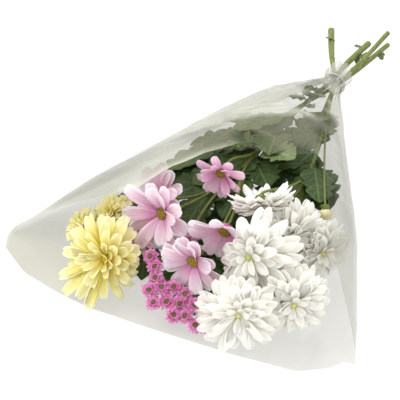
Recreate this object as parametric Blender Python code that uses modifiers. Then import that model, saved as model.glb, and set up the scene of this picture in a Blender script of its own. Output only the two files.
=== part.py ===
"""Bunch of cut spray chrysanthemums lying in a clear film sleeve.

Four cut stems lie side by side and cross where a band gathers the sleeve round them. Past the band each stem
branches into a spray: white double blooms with one round bud, pink daisy blooms, pale yellow double blooms, and a
cluster of small magenta blooms. The sleeve widens from the band to an open mouth; its lower sheet lies flat and
reaches further than its upper sheet, so the blooms at the mouth lie uncovered.

Distances along the bunch (x) run from the band towards the mouth, y to its right and z up, until the last lines
put the origin in the middle of the footprint. Sizes are in metres.
"""

import math
import random

import bmesh
import bpy
from mathutils import Euler, Matrix, Vector
from mathutils.bvhtree import BVHTree
from mathutils.geometry import interpolate_bezier

MM = 0.001
rng = random.Random(7)

# Sleeve
FILM = 0.8 * MM
SLEEVE_COLUMNS = 28
# Rows of the sleeve: at these places round the band, then evenly on to the mouth
SLEEVE_NEAR_ROWS = (-46, -31, -20, -12, 0, 16, 38)
SLEEVE_FAR_ROWS = 6
PLEAT = 0.6 * MM
# Each section: x, reach to the left and right of the centre, height of the underside, of the sides and of the top
SLEEVE_SECTIONS = (
    (-46, 30.0, 15.0, 24.0, 41, 63),
    (-31, 22.0, 13.0, 26.0, 40, 57),
    (-20, 15.5, 9.5, 27.5, 40, 52.5),
    (-12, 15.5, 9.5, 27.5, 40, 52.5),
    (0, 22.0, 13.0, 24.0, 40, 58),
    (10, 32.0, 17.0, 20.0, 38, 63),
    (30, 47.0, 28.0, 12.0, 34, 72),
    (60, 68.0, 46.0, 5.0, 28, 84),
    (90, 86.0, 62.0, 1.0, 24, 94),
    (120, 98.0, 78.0, 0.0, 20, 102),
    (160, 112.0, 101.0, 0.0, 16, 111),
    (205, 132.0, 127.0, 0.0, 12, 119),
    (250, 155.0, 151.0, 0.0, 10, 125),
    (300, 179.0, 174.0, 0.0, 8, 128),
    (350, 202.0, 196.0, 0.0, 7, 127),
    (380, 214.0, 208.0, 0.0, 6, 116),
    (405, 224.0, 218.0, 0.0, 4, 96),
    (470, 218.0, 226.0, 0.0, 2, 50),
)
# Where the edge of each sheet lies at the mouth: (share of the half width, x)
LOWER_EDGE = (
    (-1, 416), (-0.96, 435), (-0.85, 448), (-0.77, 457), (-0.55, 464), (-0.36, 466), (-0.1, 461), (0.14, 455),
    (0.45, 446), (0.75, 434), (0.88, 415), (0.94, 401), (1, 398),
)
UPPER_EDGE = (
    (-1, 414), (-0.86, 398), (-0.72, 398), (-0.45, 389), (-0.28, 379), (-0.15, 358), (-0.1, 337),
    (-0.02, 296), (0.1, 267), (0.3, 257), (0.52, 255), (0.65, 265), (0.76, 300), (0.84, 338), (0.93, 372), (1, 398),
)
FLAT_SHARE = 0.62
# The upper sheet lies lower over the left half, where fewer blooms hold it up
SLUMP = 1.1

# Band
BAND_CENTRE = Vector((-16, -3, 40)) * MM
BAND_RADIUS = 15.2 * MM
BAND_THICKNESS = 1.1 * MM
BAND_SIDES = 5
BAND_STEPS = 18

FOOTPRINT_CENTRE = Vector((145.95, -3.98, 0)) * MM

# Clearance kept between neighbouring pieces
GAP = 0.3 * MM
TEST_MARGIN = 0.45 * MM

# Blooms: name, middle of the disc or centre (mm), heading and pitch of the way it faces (degrees), radius (mm)
PINK_BLOOMS = (
    ("pink_1", (373, -34, 85), -11, 20, 37),
    ("pink_2", (403, 23, 64), -2, 8, 37),
    ("pink_3", (372, 44, 92), 8, -2, 35),
    ("pink_4", (306, 2, 110), 12, 6, 30),
    ("pink_5", (348, -52, 86), -28, 36, 33),
    ("pink_6", (387, -58, 50), -13, 3, 29),
    ("pink_7", (374, 0, 60), 15, -4, 22),
)
WHITE_BLOOMS = (
    ("white_1", (390, 83, 88), 10, 16, 46),
    ("white_2", (437, 98, 50), 16, 9, 43),
    ("white_3", (395, 141, 50), 33, 9, 41),
    ("white_4", (323, 107, 74), 62, 3, 40),
    ("white_5", (324, 64, 98), 44, -56, 35),
    ("white_6", (305, 133, 48), 50, 10, 36),
)
YELLOW_BLOOMS = (
    ("yellow_1", (438, -70, 52), 2, 19, 48),
    ("yellow_2", (374, -104, 58), -33, 48, 28),
    ("yellow_3", (397, -131, 38), -23, 33, 27),
)
BUD = ("white_bud", (258, 112, 62), 36, -50, 7.5)
BUD_SQUAT = 0.92
BUD_CUP = 3.4 * MM
BUD_STALK = 1.2 * MM
BUD_SHARE = 0.5

PETAL_THICKNESS = 0.8 * MM
# Rings of petals: count, pitch at root and at tip, length, width (shares of the radius), root height (mm)
DAISY_RINGS = (
    (7, 16, -2, 1.0, 0.4, 2.2),
    (7, 30, 14, 0.94, 0.36, 3.6),
)
WHITE_RINGS = (
    (7, -2, -22, 1.0, 0.37, 2.4),
    (7, 20, 0, 0.93, 0.33, 5.0),
    (4, 42, 26, 0.76, 0.34, 8.0),
    (3, 66, 56, 0.55, 0.28, 10.5),
)
YELLOW_RINGS = (
    (7, -4, -24, 1.0, 0.4, 2.4),
    (6, 18, 0, 0.93, 0.39, 5.0),
    (4, 42, 26, 0.76, 0.38, 8.0),
    (3, 66, 56, 0.55, 0.3, 10.5),
)
# Half width of a petal's tip, as a share of its widest part: white petals end in a point and the others are blunt
BLUNT_TIP = 0.46
POINTED_TIP = 0.0
# Ways to bend a petal clear of its neighbours, in the order tried: degrees further up, share of its length
PETAL_TRIALS = (
    (0, 1), (10, 1), (20, 1), (-10, 1), (30, 1), (0, 0.8), (42, 0.95), (15, 0.8), (30, 0.75), (54, 0.9), (0, 0.62),
    (25, 0.6), (66, 0.8),
)
# A bloom below each of these radii (mm) has one petal less in each of its two lowest rings
SMALL_BLOOMS = (37, 29.5)
DAISY_CORE = (0.24, 5.0)
DOUBLE_CORE = (0.3, 12.0)
DISC_SHARE = 0.17
DISC_HEIGHT = 3.4 * MM
CENTRE_RADIUS = 3.4 * MM
CENTRE_HEIGHT = 2.6 * MM

# Small cluster blooms: centres (mm); all of them face nearly the same way
CLUSTER_HEADING = 20
CLUSTER_PITCH = 60
CLUSTER_RADIUS = 9.2 * MM
CLUSTER_PETALS = 5
CLUSTER_HOLE = 4.2 * MM
CLUSTER_DISC = 2.9 * MM
CLUSTER_THICKNESS = 1.0 * MM
CLUSTER_RISE = 1.6 * MM
CLUSTER_CENTRES = (
    (407, -28), (414, -18), (423, -12), (436, -12), (428, -1), (422, 11), (422, 25), (445, -1),
    (437, 11), (433, 24), (445, 24), (440, 36), (427, 40), (443, 50), (439, 62),
)
CLUSTER_PLANE_POINT = Vector((434, 20, 27)) * MM

# Stems: the way each one takes from its cut end to where it ends among its branches, and its radius
STEM_WAYS = {
    "stem_white": (
        ((-111, -53, 58), (-60, -28, 52), (-16, -3, 46), (40, 16, 52), (110, 40, 58), (210, 66, 60)), 3.75,
    ),
    "stem_pink": (
        ((-147, -9, 30), (-70, -11, 36), (-16, -7.9, 41.3), (50, -10, 50), (120, -8, 60), (215, -8, 64)), 3.6,
    ),
    "stem_yellow": (
        ((-173, 11, 20), (-80, 4, 28), (-16, -3, 34), (50, -22, 36), (130, -48, 36), (235, -78, 36)), 3.0,
    ),
    "stem_magenta": (
        ((-164, 12, 45), (-80, 8, 42), (-16, 0.9, 40.5), (50, 10, 33), (150, 16, 24), (330, 14, 20)), 2.75,
    ),
}
BRANCH_RADIUS = 1.7 * MM
# How far (mm) a branch may bow aside; the least that keeps it clear is taken
BRANCH_BENDS = (0, 5, 10, 16, 23, 31)
PEDICEL_RADIUS = 0.9 * MM
# A bloom pitched below this (degrees) hangs from a branch with more bends
HANGING = -30
CALYX_RADIUS = 4.6 * MM
CALYX_HEIGHT = 5.5 * MM

# Leaves: stem, share of the way along it, heading, pitch, roll, length, width (mm)
LEAF_THICKNESS = 0.8 * MM
LEAVES = (
    ("stem_white", 0.9, 38, -8, 20, 74, 50),
    ("stem_white", 0.52, 24, 5, 0, 96, 46),
    ("stem_white", 0.8, 5, -14, 0, 84, 46),
    ("stem_white", 0.56, 4, 5, 0, 100, 54),
    ("stem_pink", 0.93, 70, 22, 10, 62, 42),
    ("stem_pink", 0.8, 18, 18, 0, 78, 52),
    ("stem_pink", 0.64, -10, 8, 10, 100, 56),
    ("stem_pink", 0.97, -22, -6, 0, 90, 54),
    ("stem_pink", 0.88, -44, 12, 0, 82, 46),
    ("stem_pink", 0.45, -30, 28, 0, 28, 18),
    ("stem_yellow", 0.74, -52, 10, 8, 92, 42),
    ("stem_yellow", 0.6, -8, 6, 0, 100, 54),
    ("stem_yellow", 0.62, -48, 6, 10, 80, 24),
    ("stem_yellow", 0.96, -18, 6, 0, 80, 44),
    ("stem_yellow", 0.42, -65, 16, 10, 34, 22),
    ("stem_yellow", 0.49, -60, 16, 10, 30, 18),
    ("stem_magenta", 0.48, -14, 7, 0, 96, 56),
    ("stem_magenta", 0.7, 16, 8, 0, 76, 44),
    ("stem_magenta", 0.86, -16, 10, 0, 72, 40),
    ("stem_magenta", 0.93, 24, 10, 0, 70, 40),
)
# Ways to turn a leaf clear of its neighbours, in the order tried: degrees aside, degrees up, share of its size
LEAF_TRIALS = (
    (0, 0, 1), (0, 8, 1), (0, -8, 1), (10, 0, 1), (-10, 0, 1), (16, 8, 1), (-16, 8, 1), (0, 16, 0.9), (0, -16, 0.9),
    (22, 0, 0.85), (-22, 0, 0.85), (0, 0, 0.75), (12, 12, 0.75), (-12, -12, 0.75), (30, 10, 0.7), (-30, 10, 0.7),
    (0, 0, 0.55), (20, 0, 0.5), (-20, 0, 0.5),
)
# Leaf outline on one side of the midrib: (share of the length, share of the half width)
LEAF_EDGE = (
    (0.0, 0.08), (0.17, 0.1), (0.32, 0.74), (0.42, 0.42), (0.6, 1.0), (0.68, 0.5), (0.84, 0.62),
)
LEAF_RIB = (0.0, 0.17, 0.42, 0.68, 1.0)

STUB_LENGTH = 15 * MM
STUB_WIDTH = 8 * MM
# Knots and leafy stubs on the bare ends of the stems: stem, share of the way, turn round the stem, kind
STEM_DETAILS = (
    ("stem_white", 0.06, 80, "stub"), ("stem_white", 0.13, 200, "knot"), ("stem_white", 0.19, 20, "knot"),
    ("stem_pink", 0.05, 100, "stub"), ("stem_pink", 0.1, 250, "stub"), ("stem_pink", 0.17, 60, "knot"),
    ("stem_yellow", 0.07, 300, "stub"), ("stem_yellow", 0.13, 90, "stub"), ("stem_yellow", 0.2, 200, "knot"),
    ("stem_magenta", 0.06, 30, "knot"), ("stem_magenta", 0.12, 160, "stub"), ("stem_magenta", 0.2, 270, "knot"),
)

# Start from an empty scene
for old in list(bpy.data.objects):
    bpy.data.objects.remove(old, do_unlink=True)
bouquet = bpy.data.collections.new("chrysanthemum_bouquet")
bpy.context.scene.collection.children.link(bouquet)


def material(name, colour, roughness, alpha=1.0):
    made = bpy.data.materials.new(name)
    made.use_nodes = True
    shader = made.node_tree.nodes["Principled BSDF"]
    shader.inputs["Base Color"].default_value = (*colour, 1.0)
    shader.inputs["Roughness"].default_value = roughness
    shader.inputs["Alpha"].default_value = alpha
    return made


FILM_CLEAR = material("clear_film", (0.86, 0.87, 0.84), 0.25, 0.35)
BAND_CLEAR = material("band", (0.8, 0.82, 0.78), 0.3)
STEM_GREEN = material("stem_green", (0.24, 0.3, 0.08), 0.5)
PETAL_PINK = material("petal_pink", (0.75, 0.4, 0.58), 0.5)
PETAL_WHITE = material("petal_white", (0.86, 0.85, 0.76), 0.5)
PETAL_YELLOW = material("petal_yellow", (0.88, 0.78, 0.3), 0.5)
PETAL_MAGENTA = material("petal_magenta", (0.62, 0.1, 0.34), 0.5)
DISC_OLIVE = material("disc_olive", (0.24, 0.16, 0.01), 0.7)
CENTRE_YELLOW = material("centre_yellow", (0.66, 0.62, 0.12), 0.6)
BUD_CREAM = material("bud_cream", (0.8, 0.76, 0.5), 0.5)


def shape_of(bm, matrix=Matrix()):
    """The points and faces of a bmesh, which is then freed."""
    bmesh.ops.recalc_face_normals(bm, faces=bm.faces[:])
    bm.verts.index_update()
    points = [matrix @ v.co for v in bm.verts]
    faces = [tuple(v.index for v in f.verts) for f in bm.faces]
    bm.free()
    return points, faces


def moved(shape, matrix):
    return [matrix @ p for p in shape[0]], shape[1]


# What each node already fills: its shapes, by the node's name
filled = {}


def tree_without(name):
    """A search tree of all that stands round the named node."""
    points, faces = [], []
    for owner, shapes in filled.items():
        if owner == name:
            continue
        for shape_points, shape_faces in shapes:
            start = len(points)
            points += shape_points
            faces += [tuple(i + start for i in face) for face in shape_faces]
    return BVHTree.FromPolygons(points, faces)


def is_clear(shape, tree):
    return not BVHTree.FromPolygons(*shape).overlap(tree)


def object_from(name, shape, look, collection):
    mesh = bpy.data.meshes.new(name)
    mesh.from_pydata([tuple(p) for p in shape[0]], [], shape[1])
    mesh.materials.append(look)
    made = bpy.data.objects.new(name, mesh)
    collection.objects.link(made)
    return made


def keep_one_body(mesh):
    """Keeps the largest closed skin of a fused mesh: scraps go, and a hollow sealed inside is filled."""
    bm = bmesh.new()
    bm.from_mesh(mesh)
    bmesh.ops.triangulate(bm, faces=bm.faces[:])
    bm.faces.ensure_lookup_table()
    left = set(bm.faces)
    skins = []
    while left:
        skin, ahead = [], [left.pop()]
        while ahead:
            face = ahead.pop()
            skin.append(face)
            for edge in face.edges:
                for other in edge.link_faces:
                    if other in left:
                        left.remove(other)
                        ahead.append(other)
        volume = sum(
            f.verts[0].co.dot(f.verts[1].co.cross(f.verts[2].co)) for f in skin
        )
        skins.append((volume, skin))
    skins.sort(key=lambda found: found[0])
    dropped = [face for _, skin in skins[:-1] for face in skin]
    bmesh.ops.delete(bm, geom=dropped, context="FACES")
    bm.to_mesh(mesh)
    bm.free()


def fused(name, shapes, look):
    """One object made of all the shapes by a single union on a collection, whose objects are then removed."""
    base = object_from(name, shapes[0], look, bouquet)
    if len(shapes) > 1:
        repeats = bpy.data.collections.new(name + "_repeats")
        bpy.context.scene.collection.children.link(repeats)
        repeats.hide_render = True
        for shape in shapes[1:]:
            object_from(name + "_repeat", shape, look, repeats)
        union = base.modifiers.new("repeats", "BOOLEAN")
        union.operation = "UNION"
        union.operand_type = "COLLECTION"
        union.collection = repeats
        union.solver = "MANIFOLD"
        graph = bpy.context.evaluated_depsgraph_get()
        joined = bpy.data.meshes.new_from_object(base.evaluated_get(graph))
        base.modifiers.clear()
        base.data = joined
        for repeat in list(repeats.objects):
            bpy.data.objects.remove(repeat, do_unlink=True)
        bpy.data.collections.remove(repeats)
    keep_one_body(base.data)
    base.data.materials.clear()
    base.data.materials.append(look)
    return base


def points_and_faces(mesh):
    return [v.co.copy() for v in mesh.vertices], [tuple(p.vertices) for p in mesh.polygons]


def dome(radius, height, sides, rings=2, skirt=0.0):
    """A closed dome with a flat base at z 0, on a straight skirt."""
    bm = bmesh.new()
    rows = []
    levels = [(radius, 0.0)]
    if skirt:
        levels.append((radius, skirt))
    for k in range(1, rings):
        turn = math.pi / 2 * k / rings
        levels.append((radius * math.cos(turn), skirt + (height - skirt) * math.sin(turn)))
    for level_radius, z in levels:
        turns = [math.tau * k / sides for k in range(sides)]
        rows.append([bm.verts.new((level_radius * math.cos(a), level_radius * math.sin(a), z)) for a in turns])
    top = bm.verts.new((0, 0, height))
    bm.faces.new(rows[0][::-1])
    for low, high in zip(rows, rows[1:]):
        for k in range(sides):
            bm.faces.new((low[k], low[(k + 1) % sides], high[(k + 1) % sides], high[k]))
    for k in range(sides):
        bm.faces.new((rows[-1][k], rows[-1][(k + 1) % sides], top))
    return shape_of(bm)


def cone(low_radius, high_radius, height, sides):
    bm = bmesh.new()
    bmesh.ops.create_cone(
        bm, cap_ends=True, segments=sides, radius1=low_radius, radius2=high_radius, depth=height,
        matrix=Matrix.Translation((0, 0, height / 2)),
    )
    return shape_of(bm)


def tube(points, radii, resolution=1):
    """A round run along the points; resolution 0 gives four sides and 1 gives six."""
    curve = bpy.data.curves.new("run", "CURVE")
    curve.dimensions = "3D"
    curve.bevel_depth = 1.0
    curve.bevel_resolution = resolution
    curve.use_fill_caps = True
    spline = curve.splines.new("POLY")
    spline.points.add(len(points) - 1)
    for knot, point, radius in zip(spline.points, points, radii):
        knot.co = (*point, 1)
        knot.radius = radius
    run = bpy.data.objects.new("run", curve)
    bouquet.objects.link(run)
    graph = bpy.context.evaluated_depsgraph_get()
    mesh = bpy.data.meshes.new_from_object(run.evaluated_get(graph))
    bpy.data.objects.remove(run, do_unlink=True)
    bm = bmesh.new()
    bm.from_mesh(mesh)
    bpy.data.meshes.remove(mesh)
    bmesh.ops.remove_doubles(bm, verts=bm.verts[:], dist=0.01 * MM)
    return shape_of(bm)


def blade(rows, thickness):
    """A blade from rows of points across it, closed and of even thickness; a row of one point is a tip."""
    bm = bmesh.new()
    made = [[bm.verts.new(p) for p in row] for row in rows]
    for near, far in zip(made, made[1:]):
        bm.faces.new(near + far[::-1])
    bmesh.ops.triangulate(bm, faces=bm.faces[:])
    bmesh.ops.recalc_face_normals(bm, faces=bm.faces[:])
    bmesh.ops.solidify(bm, geom=bm.faces[:], thickness=thickness)
    return shape_of(bm)


def petal(length, width, root_pitch, tip_pitch, tip_share, margin=0.0):
    """A petal along +X from its root, narrow at the root and widest past the middle."""
    length += margin
    half = width / 2 + margin
    first, last = math.radians(root_pitch), math.radians(tip_pitch)
    middle = Vector((math.cos(first), 0, math.sin(first))) * length * 0.58
    tip = middle + Vector((math.cos(last), 0, math.sin(last))) * length * 0.42
    rows = []
    for point, share in ((Vector(), 0.24), (middle, 1.0), (tip, tip_share)):
        across = Vector((0, half * share, 0))
        rows.append([point - across, point + across] if share else [point])
    shape = blade(rows, PETAL_THICKNESS + 2 * margin)
    return moved(shape, Matrix.Translation((0, 0, margin)))


def facing(position, heading, pitch, roll=0.0):
    """Turns +Z to the way that a bloom faces."""
    turn = Euler((0, math.radians(90 - pitch), math.radians(heading))).to_matrix().to_4x4()
    spin = Matrix.Rotation(math.radians(roll), 4, "Z")
    return Matrix.Translation(position) @ turn @ spin


def sleeve_section(x):
    for before, after in zip(SLEEVE_SECTIONS, SLEEVE_SECTIONS[1:]):
        if x <= after[0]:
            share = (x - before[0]) / (after[0] - before[0])
            return [(1 - share) * a + share * b for a, b in zip(before, after)]
    return list(SLEEVE_SECTIONS[-1])


def edge_at(table, share):
    for before, after in zip(table, table[1:]):
        if share <= after[0]:
            part = (share - before[0]) / (after[0] - before[0])
            return (1 - part) * before[1] + part * after[1]
    return table[-1][1]


def sleeve_point(column, row):
    turn = math.tau * column / SLEEVE_COLUMNS
    across, up = math.cos(turn), math.sin(turn)
    share = max(-1.0, min(1.0, across))
    edge = edge_at(UPPER_EDGE if up > 0 else LOWER_EDGE, share)
    near = SLEEVE_NEAR_ROWS[min(row, len(SLEEVE_NEAR_ROWS) - 1)]
    x = near + (edge - near) * max(0, row + 1 - len(SLEEVE_NEAR_ROWS)) / SLEEVE_FAR_ROWS
    _, left, right, low, side, top = sleeve_section(x)
    # Pleats fade out past the band
    pleat = PLEAT / MM * max(0.0, 1 - (x + 16) / 110) * (1 if column % 2 else -1)
    middle = (right - left) / 2
    half = (right + left) / 2
    y = middle + (half + pleat) * across
    if up >= 0:
        z = side + (top - side + pleat) * up ** (0.9 + SLUMP * max(0.0, -across))
    else:
        lift = max(0.0, (abs(across) - FLAT_SHARE) / (1 - FLAT_SHARE)) ** 2
        round_z = side - (side - low + pleat) * (-up) ** 0.9
        flat_z = low + (side - low) * lift
        blend = min(1.0, max(0.0, (x - 20) / 60))
        z = (1 - blend) * round_z + blend * flat_z
    return Vector((x, y, z)) * MM


# The sleeve is a loft between unlike sections, which a curve or a screw can't give
bm = bmesh.new()
rows = [
    [bm.verts.new(sleeve_point(column, row)) for column in range(SLEEVE_COLUMNS)]
    for row in range(len(SLEEVE_NEAR_ROWS) + SLEEVE_FAR_ROWS)
]
for near, far in zip(rows, rows[1:]):
    for column in range(SLEEVE_COLUMNS):
        after = (column + 1) % SLEEVE_COLUMNS
        bm.faces.new((near[column], near[after], far[after], far[column]))
bmesh.ops.triangulate(bm, faces=bm.faces[:])
bmesh.ops.recalc_face_normals(bm, faces=bm.faces[:])
if sum(f.normal.z for f in bm.faces if f.calc_center_median().z > 0.05) < 0:
    bmesh.ops.reverse_faces(bm, faces=bm.faces[:])
sleeve_mesh = bpy.data.meshes.new("sleeve")
bm.to_mesh(sleeve_mesh)
bm.free()
sleeve_mesh.materials.append(FILM_CLEAR)
sleeve = bpy.data.objects.new("sleeve", sleeve_mesh)
bouquet.objects.link(sleeve)
wall = sleeve.modifiers.new("film", "SOLIDIFY")
wall.thickness = FILM
wall.offset = -1
graph = bpy.context.evaluated_depsgraph_get()
solid_film = bpy.data.meshes.new_from_object(sleeve.evaluated_get(graph))
filled["sleeve"] = [points_and_faces(solid_film)]
bpy.data.meshes.remove(solid_film)

# Band round the gathered film
bm = bmesh.new()
turns = [math.tau * k / BAND_SIDES for k in range(BAND_SIDES)]
ring = [bm.verts.new((BAND_THICKNESS * math.cos(a), 0, BAND_RADIUS + BAND_THICKNESS * math.sin(a))) for a in turns]
loop = [bm.edges.new((ring[k], ring[(k + 1) % BAND_SIDES])) for k in range(BAND_SIDES)]
bmesh.ops.spin(
    bm, geom=ring + loop, axis=(1, 0, 0), cent=(0, 0, 0), angle=math.tau, steps=BAND_STEPS, use_merge=True,
)
bmesh.ops.remove_doubles(bm, verts=bm.verts[:], dist=0.01 * MM)
band = object_from("band", shape_of(bm, Matrix.Translation(BAND_CENTRE)), BAND_CLEAR, bouquet)
filled["band"] = [points_and_faces(band.data)]


# Cluster of small blooms: their petals touch and hold together as one body
def washer(matrix):
    """A ring of short petals with cut edges round a hole."""
    bm = bmesh.new()
    outer, inner = [], []
    for k in range(2 * CLUSTER_PETALS):
        turn = math.pi * k / CLUSTER_PETALS
        tip = k % 2 == 0
        radius = CLUSTER_RADIUS * (rng.uniform(0.97, 1.03) if tip else 0.8)
        rise = CLUSTER_RISE if tip else 0.56 * CLUSTER_RISE
        outer.append(bm.verts.new((radius * math.cos(turn), radius * math.sin(turn), rise)))
        if not tip:
            inner.append(bm.verts.new((CLUSTER_HOLE * math.cos(turn), CLUSTER_HOLE * math.sin(turn), 0)))
    for k in range(CLUSTER_PETALS):
        notch, tip, after = 2 * k - 1, 2 * k, 2 * k + 1
        bm.faces.new((inner[k - 1], outer[notch], outer[tip]))
        bm.faces.new((inner[k - 1], outer[tip], inner[k]))
        bm.faces.new((inner[k], outer[tip], outer[after]))
    bmesh.ops.recalc_face_normals(bm, faces=bm.faces[:])
    bmesh.ops.solidify(bm, geom=bm.faces[:], thickness=CLUSTER_THICKNESS)
    return shape_of(bm, matrix)


cluster_turns = []
cluster_normal = facing(Vector(), CLUSTER_HEADING, CLUSTER_PITCH).to_3x3() @ Vector((0, 0, 1))
for x, y in CLUSTER_CENTRES:
    spot = Vector((x * MM, y * MM, 0))
    spot.z = (CLUSTER_PLANE_POINT - spot).dot(cluster_normal) / cluster_normal.z
    heading = CLUSTER_HEADING + rng.uniform(-8, 8)
    pitch = CLUSTER_PITCH + rng.uniform(-5, 5)
    cluster_turns.append(facing(spot, heading, pitch, rng.uniform(0, 45)))
cluster = fused("magenta_petals", [washer(turn) for turn in cluster_turns], PETAL_MAGENTA)
filled["magenta_petals"] = [points_and_faces(cluster.data)]


# Stems with their branches, calyxes and leaves
def way_points(knots, steps):
    """Points on a smooth way through the knots, evenly spread in each span."""
    knots = [Vector(k) * MM for k in knots]
    found = []
    for k in range(len(knots) - 1):
        before = knots[max(0, k - 1)]
        start, end = knots[k], knots[k + 1]
        after = knots[min(len(knots) - 1, k + 2)]
        span = (end - start).length
        out = (end - before).normalized() * span / 3
        back = (after - start).normalized() * span / 3
        found += interpolate_bezier(start, start + out, end - back, end, steps + 1)[:-1]
    return found + [knots[-1]]


def point_along(points, share):
    """The point at this share of the way, and the direction of the way there."""
    lengths = [(b - a).length for a, b in zip(points, points[1:])]
    left = share * sum(lengths)
    for start, end, length in zip(points, points[1:], lengths):
        if left <= length:
            return start.lerp(end, left / length), (end - start).normalized()
        left -= length
    return points[-1], (points[-1] - points[-2]).normalized()


def branch(start, way, end, facing_way, radii, tree):
    """A branch from the stem to a bloom's underside, bent round whatever stands in its way."""
    span = (end - start).length
    grown = [radius + TEST_MARGIN for radius in radii]
    for reach in BRANCH_BENDS:
        for k in range(8 if reach else 1):
            side = Vector((0, math.cos(math.tau * k / 8), math.sin(math.tau * k / 8))) * reach * MM
            for hold in (0.38, 0.22, 0.12):
                points = interpolate_bezier(
                    start, start + way * span * 0.4 + side, end - facing_way * span * hold + side, end, len(radii),
                )
                if is_clear(tube(points, grown, 0), tree):
                    return tube(points, radii, 0)
    return None


def leaf(length, width, droop, margin=0.0):
    half = width / 2 + margin

    def height(share, aside):
        return -droop * length * share**2 + 0.22 * aside

    edge = [(share * length, part * half) for share, part in LEAF_EDGE]
    bm = bmesh.new()
    rib = [bm.verts.new((s * length, 0, height(s, 0))) for s in LEAF_RIB]
    for side in (-1, 1):
        rim = [bm.verts.new((x, side * y, height(x / length, y))) for x, y in edge] + [rib[-1]]
        # Each panel runs from one rib point to the next and out to the lobe between two notches
        for near, far, start, end in ((0, 1, 0, 1), (1, 2, 1, 3), (2, 3, 3, 5), (3, 4, 5, 7)):
            loop = [rib[near]] + rim[start : end + 1]
            if rim[end] is not rib[far]:
                loop.append(rib[far])
            bm.faces.new(loop)
    bmesh.ops.triangulate(bm, faces=bm.faces[:])
    bmesh.ops.recalc_face_normals(bm, faces=bm.faces[:])
    bmesh.ops.solidify(bm, geom=bm.faces[:], thickness=LEAF_THICKNESS + 2 * margin)
    return shape_of(bm, Matrix.Translation((0, 0, margin)))


def leaf_stand(base, heading, pitch, roll):
    turn = Euler((0, math.radians(-pitch), math.radians(heading))).to_matrix().to_4x4()
    return Matrix.Translation(base) @ turn @ Matrix.Rotation(math.radians(roll), 4, "X")


# Where each bloom's branch leaves its stem: the share of the way
BRANCHES = {
    "white_1": ("stem_white", 0.86), "white_2": ("stem_white", 0.8), "white_3": ("stem_white", 0.9),
    "white_4": ("stem_white", 0.97), "white_5": ("stem_white", 0.93), "white_6": ("stem_white", 0.84),
    "pink_1": ("stem_pink", 0.92), "pink_2": ("stem_pink", 0.86), "pink_3": ("stem_pink", 0.96),
    "pink_4": ("stem_pink", 0.9), "pink_5": ("stem_pink", 0.99), "pink_6": ("stem_pink", 0.84),
    "pink_7": ("stem_pink", 0.98),
    "yellow_1": ("stem_yellow", 0.9), "yellow_2": ("stem_yellow", 0.98), "yellow_3": ("stem_yellow", 0.94),
}
ways = {}
for stem_name, (knots, radius) in STEM_WAYS.items():
    ways[stem_name] = way_points(knots, 3)
    count = len(ways[stem_name])
    radii = [radius * MM * (1 - 0.38 * k / (count - 1)) for k in range(count)]
    filled[stem_name] = [tube(ways[stem_name], radii)]


def add_branch(stem_name, share, stand, axis_gap, cup, radii):
    """A cup under a bloom and the branch that carries it."""
    axis = (stand.to_3x3() @ Vector((0, 0, 1))).normalized()
    start, way = point_along(ways[stem_name], share)
    end = stand.translation - axis * axis_gap
    run = branch(start, way, end, axis, radii, tree_without(stem_name))
    filled[stem_name] += [cup, run]


# Blooms
def bloom_core(position, heading, pitch, radius, rings, core):
    """The middle of a bloom that its petals grow from: its stand, its height (mm) and its shape."""
    flat = rings is DAISY_RINGS
    size = core[1] * (1 if flat else radius / 44)
    stand = facing(Vector(position) * MM, heading, pitch, rng.uniform(0, 40))
    stand = stand @ Matrix.Translation((0, 0, -size * MM))
    if flat:
        shape = dome(core[0] * radius * MM, size * MM, 8, rings=2, skirt=0.8 * size * MM)
    else:
        shape = dome(core[0] * radius * MM, size * MM, 8, rings=3, skirt=2 * MM)
    return stand, size, moved(shape, stand)


def bloom(name, radius, rings, core, look, stand, size):
    """Rings of petals on a core; a petal that would meet a neighbour closes up, or is made shorter."""
    tree = tree_without(name)
    shapes = list(filled[name])
    core_radius = core[0] * radius * MM
    tip_share = POINTED_TIP if rings is WHITE_RINGS else BLUNT_TIP
    start = rng.uniform(0, 60)
    for count, root_pitch, tip_pitch, reach, width, root in rings:
        if root < 6:
            count -= sum(radius < limit for limit in SMALL_BLOOMS)
        root_height = root * (1 if rings is DAISY_RINGS else radius / 44)
        # The root sits inside the core, which narrows with height
        narrowing = 1.0 if rings is DAISY_RINGS else math.sqrt(max(0.05, 1 - (root_height / size) ** 2))
        root_radius = core_radius * narrowing * 0.55
        # Each ring's petals stand over the gaps of the ring below
        start += 180 / count
        for k in range(count):
            around = start + 360 * k / count + rng.uniform(-5, 5)
            length = radius * reach * rng.uniform(0.93, 1.04) * MM - root_radius
            tilt = rng.uniform(-5, 5)
            twist = rng.uniform(-9, 9)
            for lift, shorter in PETAL_TRIALS:
                first = root_pitch + tilt + lift * 0.8
                last = tip_pitch + tilt + lift * 1.15
                turn = (
                    stand
                    @ Matrix.Rotation(math.radians(around), 4, "Z")
                    @ Matrix.Translation((root_radius, 0, root_height * MM))
                    @ Matrix.Rotation(math.radians(twist), 4, "X")
                )
                size_and_bend = (length * shorter, width * radius * MM, first, last, tip_share)
                if is_clear(moved(petal(*size_and_bend, TEST_MARGIN), turn), tree):
                    shapes.append(moved(petal(*size_and_bend), turn))
                    break
    made = fused(name, shapes, look)
    filled[name] = [points_and_faces(made.data)]


ORDER = (
    "pink_1", "white_1", "yellow_1", "pink_2", "white_2", "pink_3", "pink_4", "white_3", "yellow_2", "white_5",
    "white_4", "yellow_3", "pink_5", "pink_6", "white_6", "pink_7",
)
kinds = {}
for table, rings, core, look in (
    (PINK_BLOOMS, DAISY_RINGS, DAISY_CORE, PETAL_PINK),
    (WHITE_BLOOMS, WHITE_RINGS, DOUBLE_CORE, PETAL_WHITE),
    (YELLOW_BLOOMS, YELLOW_RINGS, DOUBLE_CORE, PETAL_YELLOW),
):
    for row in table:
        kinds[row[0]] = (row, rings, core, look)
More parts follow.
